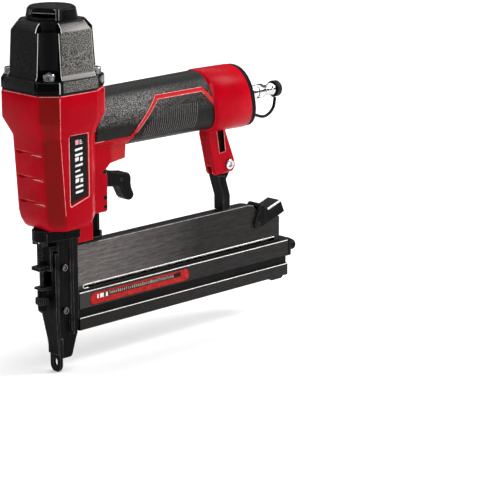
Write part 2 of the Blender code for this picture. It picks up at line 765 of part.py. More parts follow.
def build_deflector():
    """The turnable exhaust deflector on top of the cap, with a flat outlet facet and its rib."""
    low = CAP_TOP_Z + GAP
    corners = 16
    rings = []
    for z, scale in ((low, 1.0), (low + 3.4, 0.97), (DEFLECTOR_TOP_Z - 1.4, 0.93), (DEFLECTOR_TOP_Z, 0.84)):
        ring = []
        for i in range(corners):
            turn = 2 * math.pi * (i + 0.5) / corners
            radius = DEFLECTOR_RADIUS * scale
            ring.append((AXIS_X + radius * math.cos(turn), radius * math.sin(turn), z))
        rings.append(ring)
    origin = (AXIS_X, 0, low)
    deflector = new_object("exhaust_deflector", loft(rings), PLASTIC, origin)
    facet = box((-40.0, -13.4), (-20.0, 20.0), (low + 1.6, DEFLECTOR_TOP_Z + 5))
    rib = box((-16.2, -8.0), (-11.6, -9.4), (low + 1.0, DEFLECTOR_TOP_Z - 0.4))
    outlet = box((-30.0, -6.0), (-8.0, 8.0), (low + 1.7, low + 4.6))
    turn = Matrix.Rotation(math.radians(OUTLET_TURN), 4, "Z")
    for shape in (facet, rib, outlet):
        shape.transform(Matrix.Translation((AXIS_X, 0, 0)) @ turn)
    cut(deflector, facet)
    join(deflector, rib)
    hollow = [(0, low - 2), (14.4, low - 2), (13.4, low + 4.4), (0, low + 4.4)]
    cut(deflector, turned(hollow, "z", (AXIS_X, 0, 0), 20))
    cut(deflector, outlet)
    cut(deflector, rod(2.4, "z", (low, low + 20), (AXIS_X, 0, 0), 12))
    cut(deflector, rod(5.0, "z", (DEFLECTOR_TOP_Z - 1.2, low + 20), (AXIS_X, 0, 0), 16))


def build_deflector_screw():
    head = DEFLECTOR_TOP_Z - 1.0
    profile = [
        (0, head + 0.4),
        (1.4, head + 0.4),
        (1.4, head + 0.9),
        (4.2, head + 0.8),
        (4.5, head + 0.2),
        (4.5, head),
        (2.1, head),
        (2.1, CAP_TOP_Z - 6.0),
        (0, CAP_TOP_Z - 6.0),
    ]
    new_object("deflector_screw", turned(profile, "z", (AXIS_X, 0, 0), 16), BLACK_STEEL, (AXIS_X, 0, head))


# ---------------------------------------------------------------- rear end and air inlet


def build_end():
    """The gasket and the threaded plate that close the handle's rear end."""
    gasket_x = COLLAR_X + GAP
    plate_x = gasket_x + 0.8 + GAP
    gasket = new_object("end_gasket", loft(end_rings(gasket_x, 0.8, 0.5)), SEAL)
    plate = new_object("end_plate", loft(end_rings(plate_x, PLATE, 0.3)), BLACK_STEEL)
    bevel(plate, 0.6, 2, 30)
    cut(gasket, loft([oval(x, BORE_HALF_Y, BORE_HALF_Z, HANDLE_Z, steps=20) for x in (150.0, 190.0)]))
    cut(plate, rod(6.4, "x", (150.0, 190.0), (0, 0, INLET_Z), 24))


def build_air_plug():
    """A quick-connect plug: the threaded root, the hexagon, the grooved body and the nipple."""
    bore = 2.6
    profile = [
        (bore, 160.0),
        (6.0, 160.0),
        (6.0, 175.8),
        (7.6, 175.8),
        (7.6, 181.0),
        (5.3, 181.6),
        (5.3, 188.0),
        (4.3, 188.6),
        (4.3, 190.4),
        (5.3, 191.0),
        (5.3, 197.0),
        (3.9, 198.4),
        (3.9, 204.4),
        (4.6, 205.4),
        (4.6, 208.2),
        (3.8, PLUG_TIP_X),
        (bore, PLUG_TIP_X),
    ]
    plug = new_object("air_plug", turned(profile, "x", (0, 0, INLET_Z), 18), PLATED)
    flats = []
    for i in range(6):
        flat = box((175.0, 181.2), (6.6, 20.0), (-20.0, 20.0))
        flat.transform(Matrix.Translation((0, 0, INLET_Z)) @ Matrix.Rotation(math.radians(60 * i), 4, "X"))
        flats.append(flat)
    cut(plug, *flats)


def build_dust_cap():
    """The rubber cap on the plug's tip and the strap that keeps it on the tool."""
    tip = PLUG_TIP_X
    mouth = tip - 2.4
    inside = [(0, tip + GAP), (4.9, tip + GAP), (4.9, mouth)]
    profile = [*inside, (6.0, mouth), (6.0, tip + 2.2), (5.2, tip + 3.0), (0, tip + 3.2)]
    new_object("dust_cap", turned(profile, "x", (0, 0, INLET_Z), 24), RUBBER, (tip, 0, INLET_Z))
    ring = [(7.9, 176.6), (9.6, 176.6), (9.6, 178.6), (7.9, 178.6)]
    new_object("dust_cap_ring", turned(ring, "x", (0, 0, INLET_Z), 24), RUBBER)


def build_dust_cap_strap():
    """A thin loop that hangs from the ring and comes up to the cap."""
    route = [
        Vector((177.6, 0, 155.0)),
        Vector((182.0, 0, 153.4)),
        Vector((190.0, 0, 149.6)),
        Vector((198.4, 0, 147.0)),
        Vector((204.8, 0, 148.4)),
        Vector((209.4, 0, 152.8)),
        Vector((210.9, 0, 159.4)),
    ]
    curve = bpy.data.curves.new("dust_cap_strap", "CURVE")
    curve.dimensions = "3D"
    curve.bevel_depth = 1.15 * MM
    curve.bevel_resolution = 2
    curve.use_fill_caps = True
    points = smooth_route(route, 5)
    spline = curve.splines.new("POLY")
    spline.points.add(len(points) - 1)
    for point, place in zip(spline.points, points):
        point.co = (*(place * MM), 1.0)
    strap = bpy.data.objects.new("dust_cap_strap", curve)
    curve.materials.append(material(RUBBER))
    bpy.context.scene.collection.objects.link(strap)


def smooth_route(route, steps):
    """A Catmull-Rom curve through the route's points."""
    ends = [route[0] * 2 - route[1], *route, route[-1] * 2 - route[-2]]
    points = [route[0]]
    for a, b, c, d in zip(ends, ends[1:], ends[2:], ends[3:]):
        for i in range(1, steps + 1):
            t = i / steps
            square = 2 * a - 5 * b + 4 * c - d
            cube = 3 * b - a - 3 * c + d
            points.append(0.5 * (2 * b + (c - a) * t + square * t**2 + cube * t**3))
    return points


# ---------------------------------------------------------------- labels


def build_side_labels():
    """Inlays in the recesses on both sides of the housing."""
    for name, side in (("side_label_left", -1), ("side_label_right", 1)):
        floor = side * (BODY_HALF - 1.2 + GAP)
        face = side * (BODY_HALF - 0.2)
        new_object(name, prism(label_inlay_outline(), "y", sorted((floor, face))), INLAY)


# ---------------------------------------------------------------- trigger


def build_trigger():
    """The trigger, an upward-open channel with a curled finger rest, on its cross pin."""
    x, z = TRIGGER_PIN
    hub = arc(TRIGGER_PIN, 4.2, 60, 250, 8)
    outline = [
        *hub,
        (42.0, 121.4),
        (55.4, 119.4),
        (57.6, 115.4),
        (59.6, 111.4),
        (62.0, 109.0),
        (65.0, 108.4),
        (67.6, 109.6),
        (68.6, 112.0),
        (66.6, 116.4),
        (65.8, 120.0),
        (66.0, 124.6),
        (64.6, 127.2),
        (62.0, 128.4),
        (54.0, 129.6),
        (45.0, 132.2),
    ]
    shape = prism(outline, "y", (-TRIGGER_HALF_Y, TRIGGER_HALF_Y))
    trigger = new_object("trigger", shape, PLASTIC, (x, 0, z))
    bevel(trigger, 0.8, 1, 30)
    floor = [(44.6, 110.0), (44.6, 122.6), (55.0, 121.4), (62.6, 121.8)]
    channel = [(20.0, 145.0), (20.0, 110.0), *floor, (62.6, 145.0)]
    cut(trigger, prism(channel, "y", (-3.1, 3.1)))
    cut(trigger, rod(1.75, "y", (-20, 20), (x, 0, z), 12))
    cut(trigger, rod(1.3, "y", (-20, 20), (TRIP_PIN[0], 0, TRIP_PIN[1]), 10))
    new_object("trigger_pin", rod(1.4, "y", PIN_SPAN, (x, 0, z), 16), BLACK_STEEL)


def build_trip_lever():
    """The lever in the trigger that reaches from the safety bar to the valve stem."""
    x, z = TRIP_PIN
    outline = [
        *arc(TRIP_PIN, 2.0, -100, 80, 6),
        (52.0, 128.2),
        (46.0, 130.6),
        (42.0, 130.8),
        (41.2, 129.8),
        (42.0, 128.8),
        (45.0, 128.6),
        (51.0, 125.0),
    ]
    lever = new_object("trip_lever", prism(outline, "y", (-2.6, 2.6)), BLACK_STEEL, (x, 0, z))
    join(lever, rod(1.0, "y", (-TRIGGER_HALF_Y + 0.2, TRIGGER_HALF_Y - 0.2), (x, 0, z), 12))


def build_trigger_valve():
    """The brass valve body in its bore, the stem that the trip lever pushes, and its spring."""
    centre = (STEM_X, 0, 0)
    body = [(2.2, 141.5), (5.0, 141.5), (5.0, 160.0), (4.2, 160.0), (4.2, 146.0), (2.2, 144.5)]
    new_object("trigger_valve_body", turned(body, "z", centre, 16), BRASS)
    collar = [(1.9, 148.0), (3.6, 148.6), (3.6, 150.4), (1.7, 151.0)]
    stem = [(0, 134.0), (1.5, 134.0), (1.9, 134.4), *collar, (1.7, 154.4), (0, 154.4)]
    new_object("valve_stem", turned(stem, "z", centre, 16), BRIGHT_STEEL, (STEM_X, 0, 134.0))
    new_object("valve_spring", coil(3.0, 0.35, 5, "z", (150.8, 163.5), centre, 3, 8), SPRING_STEEL)


def build_guide_pins():
    for name, (x, z) in zip(("guide_pin_upper", "guide_pin_lower"), GUIDE_PINS):
        pin = rod(1.4, "y", PIN_SPAN, (x, 0, z), 12)
        new_object(name, pin, BLACK_STEEL)


# ---------------------------------------------------------------- nose and safety linkage


def nose_side_outline():
    """Side view of the nose behind its front cover."""
    return [
        (NOSE_FRONT_X + 2.4, 95.0),
        (NOSE_FRONT_X + 2.4, 44.0),
        (-2.0 + 2.4, 18.0),
        (-2.0 + 2.4, NOSE_TIP_Z),
        (8.4, NOSE_TIP_Z),
        (9.6, 11.0),
        (NOSE_REAR_X, 25.0),
        (NOSE_REAR_X, 95.0),
    ]


def nose_taper():
    """Cutters that narrow the nose towards its tip."""
    cutters = []
    for side in (-1, 1):
        outline = [(30.0, 46.0), (NOSE_HALF_Y + 0.01, 46.0), (5.4, 22.0), (5.4, 0.0), (30.0, 0.0)]
        cutters.append(prism([(side * y, z) for y, z in outline], "x", (-20.0, 30.0)))
    return cutters


def nose_flange_outline():
    front = arc((-8.0, 0.0), 8.4, 110, 250, 8)
    return [*front, (NOSE_REAR_X, -11.5), (NOSE_REAR_X, 11.5)]


def build_nose():
    """The driver guide, which bolts under the housing and takes the magazine at its rear."""
    nose = new_object("nose_body", prism(nose_side_outline(), "y", (-NOSE_HALF_Y, NOSE_HALF_Y)), BLACK_STEEL)
    bevel(nose, 0.6, 1, 30)
    cut(nose, *nose_taper())
    flange = prism(nose_flange_outline(), "z", (NOSE_TOP_Z - FLANGE_THICK, NOSE_TOP_Z))
    join(nose, flange, rounding=0.6)
    ridge = [(6.2, 96.0), (6.2, 30.0), (8.6, 26.0), (8.6, 96.0)]
    join(nose, *[prism(ridge, "y", on_side(side, 7.0, NOSE_HALF_Y + 0.9)) for side in (-1, 1)])
    cut(nose, box((-3.4, 3.4), (-DRIVER_HALF_Y - 0.3, DRIVER_HALF_Y + 0.3), (0.0, 110.0)))
    cut(nose, box((3.0, 20.0), (-DRIVER_HALF_Y - 0.3, DRIVER_HALF_Y + 0.3), (SLIDE_LOW_Z, 84.0)))
    cut(nose, box((-20.0, FOOT_HALF_X + 0.3), (-FOOT_HALF_Y - 0.3, FOOT_HALF_Y + 0.3), (0.0, 71.5)))
    top = YOKE_Z[1] + SAFETY_TRAVEL + 0.5
    for side in (-1, 1):
        channel = on_side(side, YOKE_Y[0] - 0.4, YOKE_Y[1] + 0.4)
        cut(nose, box((-12.0, 30.0), channel, (YOKE_Z[0] - 0.6, top)))
    cut(nose, box((-10.0, NOSE_FRONT_X + 2.6), (-YOKE_Y[1] - 0.4, YOKE_Y[1] + 0.4), (60.0, top)))
    cut(nose, box((TRACK_FRONT_X - GAP, 30.0), (-5.2, 5.2), (20.0, TRACK_TOP_Z + 0.6)))
    cut(nose, *[rod(1.9, "y", (-20, 20), (x, 0, z), 10) for x, z in NOSE_BOLTS])
    cut(nose, *[rod(1.5, "z", (80.0, 120.0), (x, y, 0), 10) for x, y in FLANGE_BOLTS])


def build_nose_cover():
    """The front plate that closes the driver channel, with a window for the foot's flange."""
    outline = [
        (NOSE_FRONT_X, 84.0),
        (NOSE_FRONT_X, 44.0),
        (-2.4, 18.0),
        (-2.4, 12.6),
        (-1.4 - GAP, 12.6),
        (-1.4 - GAP, 20.0),
        (NOSE_FRONT_X + 2.1, 45.0),
        (NOSE_FRONT_X + 2.1, 84.0),
    ]
    cover = new_object("nose_cover", prism(outline, "y", (-NOSE_HALF_Y, NOSE_HALF_Y)), BLACK_STEEL)
    cut(cover, *nose_taper())
    cut(cover, box((-20.0, 5.0), (-4.4, 4.4), (59.0, 72.0)))


def build_nose_bolts():
    for name, (x, z) in zip(("nose_bolt_upper", "nose_bolt_lower"), NOSE_BOLTS):
        bolt = socket_screw(2.4, 1.6, 1.6, 2.8, "y", (x, -NOSE_HALF_Y - GAP, z), -1)
        new_object(name, bolt, BRIGHT_STEEL)


def build_flange_bolts():
    low = NOSE_TOP_Z - FLANGE_THICK - GAP
    for name, (x, y) in zip(("flange_bolt_left", "flange_bolt_right"), FLANGE_BOLTS):
        new_object(name, socket_screw(2.0, 2.2, 1.2, 13.0, "z", (x, y, low), -1), BLACK_STEEL)


def build_contact_foot():
    """The plate that touches the work, with a slot in its end and a flange for the adjuster."""
    outline = [
        *arc((0.0, FOOT_HALF_Y - 0.35), FOOT_HALF_Y, 180, 360, 10),
        (FOOT_HALF_Y, 60.0),
        (-FOOT_HALF_Y, 60.0),
    ]
    foot = new_object("contact_foot", prism(outline, "x", (-FOOT_HALF_X, FOOT_HALF_X)), BLACK_STEEL)
    join(foot, box((-14.6, FOOT_HALF_X), (-4.0, 4.0), (59.6, 61.2)))
    cut(foot, prism(slot_outline((-2.0, 2.0), (3.6, 9.4)), "x", (-5.0, 5.0)))
    cut(foot, box((-5.0, 5.0), (-6.0, 6.0), (-3.0, 0.0)))
    cut(foot, rod(1.9, "z", (50.0, 70.0), (ADJUSTER_X, 0, 0), 12))


def build_safety_yoke():
    """The fork that carries the foot's motion round the driver and up to the trigger."""
    front = box((-9.2, -7.4), (-YOKE_Y[1], YOKE_Y[1]), (72.8, YOKE_Z[1]))
    yoke = new_object("safety_yoke", front, BLACK_STEEL)
    arms = [box((-8.4, BAR_X[1]), on_side(side, *YOKE_Y), YOKE_Z) for side in (-1, 1)]
    join(yoke, *arms)
    join(yoke, box((-16.2, -7.8), (-4.4, 4.4), (73.0, 75.6)))
    join(yoke, box(BAR_X, (-YOKE_Y[1], YOKE_Y[1]), (YOKE_Z[0], YOKE_Z[1] + 4)))
    join(yoke, box(BAR_X, (-4.6, 4.6), (YOKE_Z[0] + 0.5, 104.0)))
    join(yoke, box(BAR_X, (-2.6, 2.6), (102.0, 118.9)))
    join(yoke, box((BAR_X[0] + 0.2, 43.0), (-2.5, 2.5), (117.4, 119.0)))
    cut(yoke, rod(1.9, "z", (60.0, 80.0), (ADJUSTER_X, 0, 0), 12))


def build_depth_adjuster():
    """The screw between the yoke and the foot, and the thumbwheel that sets the driving depth."""
    centre = (ADJUSTER_X, 0, 0)
    screw = [(0, 43.4), (1.5, 43.4), (1.5, 75.9), (1.9, 75.9), (1.9, 78.3), (0, 78.3)]
    new_object("depth_screw", turned(screw, "z", centre, 12), BLACK_STEEL)
    rim = [(3.3, 49.4), (4.6, 49.8), (4.6, 53.9), (3.2, 54.3)]
    profile = [(1.8, 44.4), (2.7, 44.4), *rim, (3.2, 59.2), (1.8, 59.2)]
    wheel = new_object("depth_wheel", turned(profile, "z", centre, 24), BLACK_STEEL, (ADJUSTER_X, 0, 51.8))
    notches = []
    for i in range(12):
        turn = 2 * math.pi * i / 12
        place = (ADJUSTER_X + 4.9 * math.cos(turn), 4.9 * math.sin(turn), 0)
        notches.append(rod(0.7, "z", (49.0, 55.0), place, 6))
    cut(wheel, *notches)


def build_safety_spring():
    """The spring between the adjuster's screw head and the flange, which pushes the linkage down."""
    new_object("safety_spring", coil(1.6, 0.3, 7, "z", (78.6, 92.2), (ADJUSTER_X, 0, 0), 3, 8), SPRING_STEEL)


# ---------------------------------------------------------------- magazine


def build_track():
    """The fixed upper half of the magazine: a folded channel, open at the bottom."""
    outline = [
        (TRACK_FRONT_X, TRACK_LOW_Z),
        (TRACK_REAR_X, TRACK_LOW_Z),
        (TRACK_REAR_X, 71.5),
        (198.0, 73.6),
        (190.5, 76.0),
        (184.5, TRACK_TOP_Z - 1.2),
        (179.0, TRACK_TOP_Z),
        (TRACK_FRONT_X, TRACK_TOP_Z),
    ]
    track = new_object("magazine_track", prism(outline, "y", (-TRACK_HALF, TRACK_HALF)), ANODISED)
    bevel(track, 0.5, 1, 40)
    inner = TRACK_HALF - TRACK_WALL
    cut(track, box((0.0, 230.0), (-inner, inner), (20.0, TRACK_TOP_Z - TRACK_WALL)))
    guide = slot_outline((20.5, 206.0), (54.4, 57.0))
    cut(track, prism(guide, "y", (-9.0, 9.0)))
    cut(track, rod(1.6, "y", (-9.0, 9.0), (LATCH_PIN[0], 0, LATCH_PIN[1]), 12))
    cut(track, rod(1.5, "z", (80.0, 90.0), (BRACKET_FOOT_X, 0, 0), 10))


def slide_outline():
    """End view of the sliding lower half, open at the top and grooved along both sides."""
    right = [
        (SLIDE_HALF, SLIDE_LOW_Z + 0.6),
        (SLIDE_HALF, 35.4),
        (SLIDE_HALF - 1.9, 35.9),
        (SLIDE_HALF - 1.9, 41.3),
        (SLIDE_HALF, 41.8),
        (SLIDE_HALF, SLIDE_TOP_Z - 0.6),
        (SLIDE_HALF - 0.6, SLIDE_TOP_Z),
        (SLIDE_INNER, SLIDE_TOP_Z),
        (SLIDE_INNER, 30.4),
    ]
    left = [(-y, z) for y, z in right]
    return [(SLIDE_HALF - 0.6, SLIDE_LOW_Z), *right, *left[::-1], (-SLIDE_HALF + 0.6, SLIDE_LOW_Z)]


def build_slide():
    origin = (SLIDE_FRONT_X, 0, 30.0)
    channel = prism(slide_outline(), "x", (SLIDE_FRONT_X, SLIDE_REAR_X))
    slide = new_object("magazine_slide", channel, ANODISED, origin)
    foot_outline = [(198.6, 28.0), (200.4, 24.9), (211.0, 24.9), (213.8, 28.0)]
    foot = prism(foot_outline, "y", (-SLIDE_HALF + 0.4, SLIDE_HALF - 0.4))
    join(slide, foot, rounding=0.5)
    across = (LABEL_X[0] - GAP, LABEL_X[1] + GAP)
    recess = rounded_box_outline(across, (LABEL_Z[0] - GAP, LABEL_Z[1] + GAP), 3.0)
    cut(slide, prism(recess, "y", (-SLIDE_HALF - 3, -SLIDE_HALF + 0.6)))
    plate = prism(rounded_box_outline(LABEL_X, LABEL_Z, 3.0), "y", (-SLIDE_HALF - 0.1, -SLIDE_HALF + 0.3))
    new_object("slide_label", plate, RED_LABEL, origin)


def build_rail():
    """The inner rail that the staples straddle. It slides with the lower half."""
    front = [(8.0, 36.0), (11.0, 33.0), (SLIDE_FRONT_X + 0.6, 30.8)]
    outline = [*front, (204.0, 30.8), (204.0, RAIL_TOP_Z), (6.0, RAIL_TOP_Z), (6.0, 38.0)]
    new_object("magazine_rail", prism(outline, "y", (-1.5, 1.5)), BRIGHT_STEEL, (SLIDE_FRONT_X, 0, 30.0))


def build_end_block():
    """The block that closes the slide's rear end, with the latch's catch and the feed rod's seat."""
    origin = (SLIDE_FRONT_X, 0, 30.0)
    shape = box((SLIDE_REAR_X + GAP, 222.4), (-6.4, 6.4), (40.2, 53.4))
    block = new_object("slide_end_block", shape, PLASTIC, origin)
    bevel(block, 0.8, 2, 30)
    join(block, box((212.0, 218.0), (-4.6, 4.6), (41.0, 53.0)))
    join(block, box((205.0, 213.0), (-2.7, 2.7), (42.0, 52.0)))
    join(block, box((205.0, 209.6), (-2.7, 2.7), (44.0, CATCH_TOP_Z)))
    cut(block, rod(1.1, "x", (200.0, 215.0), (0, 0, FEED_Z), 10))
    profile = [(0, 222.0), (3.0, 222.0), (3.0, 224.0), (4.0, 224.6), (4.0, 228.4), (3.2, 229.6), (0, 229.6)]
    knob = [(radius, x + 0.7) for radius, x in profile]
    new_object("slide_knob", turned(knob, "x", (0, 0, 46.4), 20), PLASTIC, origin)


def build_feed():
    """The pusher that carries the strip forward, its spring and the rod that guides both."""
    pusher = new_object("pusher", box((7.0, 20.0), (-2.8, 2.8), (54.0, 77.4)), BRIGHT_STEEL, (7.0, 0, FEED_Z))
    cut(pusher, box((0.0, 30.0), (-1.8, 1.8), (50.0, RAIL_TOP_Z + GAP)))
    cut(pusher, rod(1.1, "x", (0.0, 30.0), (0, 0, FEED_Z), 10))
    feed_rod = rod(0.8, "x", (4.2, 208.0), (0, 0, FEED_Z), 8)
    new_object("feed_rod", feed_rod, BRIGHT_STEEL, (SLIDE_FRONT_X, 0, 30.0))
    new_object("feed_spring", coil(1.75, 0.3, 18, "x", (20.4, 204.6), (0, 0, FEED_Z), 3, 6), SPRING_STEEL)


def build_latch():
    """The thumb lever at the magazine's rear, on two stub pins that leave the channel clear."""
    x, z = LATCH_PIN
    outline = [
        *arc(LATCH_PIN, 3.4, 150, 290, 6),
        (200.0, 70.0),
        (214.6, 75.0),
        (210.6, 84.4),
        (197.0, 80.0),
        (192.0, 84.6),
        (189.4, 84.0),
    ]
    latch = new_object("latch_lever", prism(outline, "y", (-7.0, 7.0)), BLACK_STEEL, (x, 0, z))
    bevel(latch, 0.6, 1, 30)
    lip = CATCH_TOP_Z + 0.7
    ceiling = [(211.6, lip), (209.4, 82.2), (197.2, 78.0), (192.0, 82.4), (180.0, 84.0)]
    inside = [(180.0, 60.0), (230.0, 60.0), (230.0, lip), *ceiling]
    cut(latch, prism(inside, "y", (-TRACK_HALF - GAP, TRACK_HALF + GAP)))
    cut(latch, rod(1.6, "y", (-9.0, 9.0), (x, 0, z), 12))
    inner = TRACK_HALF - TRACK_WALL + 0.1
    for name, side in (("latch_pin_left", -1), ("latch_pin_right", 1)):
        pin = rod(1.3, "y", sorted((side * inner, side * 7.6)), (x, 0, z), 12)
        new_object(name, pin, BRIGHT_STEEL)


def build_bracket():
    """The folded support between the stalk and the magazine, its bolt and its nut."""
    front = [(148.0, 112.0), (153.4, 96.0), (153.4, TRACK_TOP_Z + GAP)]
    rear = [(160.4, TRACK_TOP_Z + GAP), (160.4, 96.0), (155.6, 111.0)]
    outline = [*front, *rear]
    bracket = new_object("support_bracket", prism(outline, "y", (-STALK_HALF_Y, STALK_HALF_Y)), BLACK_STEEL)
    bevel(bracket, 0.5, 1, 30)
    pocket = [(150.8, 118.0), (155.6, 97.0), (155.6, 60.0), (180.0, 60.0), (180.0, 118.0)]
    cut(bracket, prism(pocket, "y", (-3.2, 3.2)))
    tongue = [(149.4, 113.0), (152.0, 104.0), (157.0, 104.0), (163.0, 112.6)]
    tongue += [(163.0, 121.0), (156.0, 123.0), (151.0, 122.0)]
    join(bracket, prism(tongue, "y", (-1.7, 1.7)))
    join(bracket, box((153.6, 160.2), (-4.6, 4.6), (TRACK_TOP_Z + GAP, TRACK_TOP_Z + 2.0)))
    x, z = STALK_BOLT
    cut(bracket, rod(2.4, "y", (-9.0, 9.0), (x, 0, z), 12))
    seat = -3.4 - GAP
    new_object("bracket_bolt", socket_screw(3.6, 3.0, 2.0, 6.9, "y", (x, seat, z), -1), BRIGHT_STEEL)
    nut = [(2.3, 3.7), (3.7, 3.7), (3.7, 6.2), (2.3, 6.2)]
    new_object("bracket_nut", turned(nut, "y", (x, 0, z), 6), BRIGHT_STEEL)


# ---------------------------------------------------------------- run


def main():
    clear_scene()
    build_housing()
    build_grips()
    build_sleeve()
    build_bumper()
    build_driver()
    build_cap_gasket()
    build_cap()
    build_cap_bolts()
    build_head_valve()
    build_deflector()
    build_deflector_screw()
    build_end()
    build_air_plug()
    build_dust_cap()
    build_dust_cap_strap()
    build_side_labels()
    build_trigger()
    build_trip_lever()
    build_trigger_valve()
    build_guide_pins()
    build_nose()
    build_nose_cover()
    build_nose_bolts()
    build_flange_bolts()
    build_contact_foot()
    build_safety_yoke()
    build_depth_adjuster()
    build_safety_spring()
    build_track()
    build_slide()
    build_rail()
    build_end_block()
    build_feed()
    build_latch()
    build_bracket()


main()
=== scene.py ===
"""Looks of a pneumatic nail gun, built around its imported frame.

Shapes are written in millimetres, and mm() or MM turns them into metres. Material nodes and radii
that say MM are in metres.
"""

import json
import math

import bmesh
import bpy
from mathutils import Matrix, Vector
from mathutils.bvhtree import BVHTree


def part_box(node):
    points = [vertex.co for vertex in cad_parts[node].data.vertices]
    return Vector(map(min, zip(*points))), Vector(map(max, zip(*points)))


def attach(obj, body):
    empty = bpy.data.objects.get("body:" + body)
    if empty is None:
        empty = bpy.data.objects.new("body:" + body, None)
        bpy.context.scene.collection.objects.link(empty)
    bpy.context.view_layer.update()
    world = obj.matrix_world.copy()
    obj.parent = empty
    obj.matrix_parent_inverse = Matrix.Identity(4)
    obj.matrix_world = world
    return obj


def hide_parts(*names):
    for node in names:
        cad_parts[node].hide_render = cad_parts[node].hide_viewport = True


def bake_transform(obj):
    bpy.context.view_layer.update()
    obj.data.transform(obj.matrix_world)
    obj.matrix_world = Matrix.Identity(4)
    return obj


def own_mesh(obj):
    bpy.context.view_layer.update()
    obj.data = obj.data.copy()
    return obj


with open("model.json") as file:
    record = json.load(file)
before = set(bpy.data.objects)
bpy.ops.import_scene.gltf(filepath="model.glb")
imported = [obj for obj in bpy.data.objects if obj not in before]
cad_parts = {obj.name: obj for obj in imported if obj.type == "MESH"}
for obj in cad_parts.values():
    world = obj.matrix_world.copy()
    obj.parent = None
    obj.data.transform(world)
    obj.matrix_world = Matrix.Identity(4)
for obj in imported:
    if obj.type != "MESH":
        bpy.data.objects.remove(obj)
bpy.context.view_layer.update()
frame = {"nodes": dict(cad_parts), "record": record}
NODES = frame["nodes"]
MM = 0.001


def mm(*values):
    return Vector(values) * MM


def centre_of(node):
    low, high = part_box(node)
    return (low + high) / 2


def box_mm(node):
    """A CAD node's lowest and highest corners, in millimetres."""
    low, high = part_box(node)
    return low / MM, high / MM


# The cylinder's axis. Then the radius of the cap's corner channels and of the notches above them, and
# how far their centres are from that axis along X and along Y. The notches start at NOTCH_LOW.
CYLINDER = centre_of("cylinder_cap")
CHANNEL = (9.0 * MM, 22.6 * MM)
NOTCH = (8.4 * MM, 19.0 * MM)
NOTCH_LOW = 233.4 * MM

# Heights of the three grooves on the housing's front, in millimetres
GROOVES = (120.1, 136.6, 153.2)

# The way that the exhaust outlet faces, in degrees about the cylinder's axis from +X
OUTLET_TURN = 208.0


# ---------------------------------------------------------------- materials


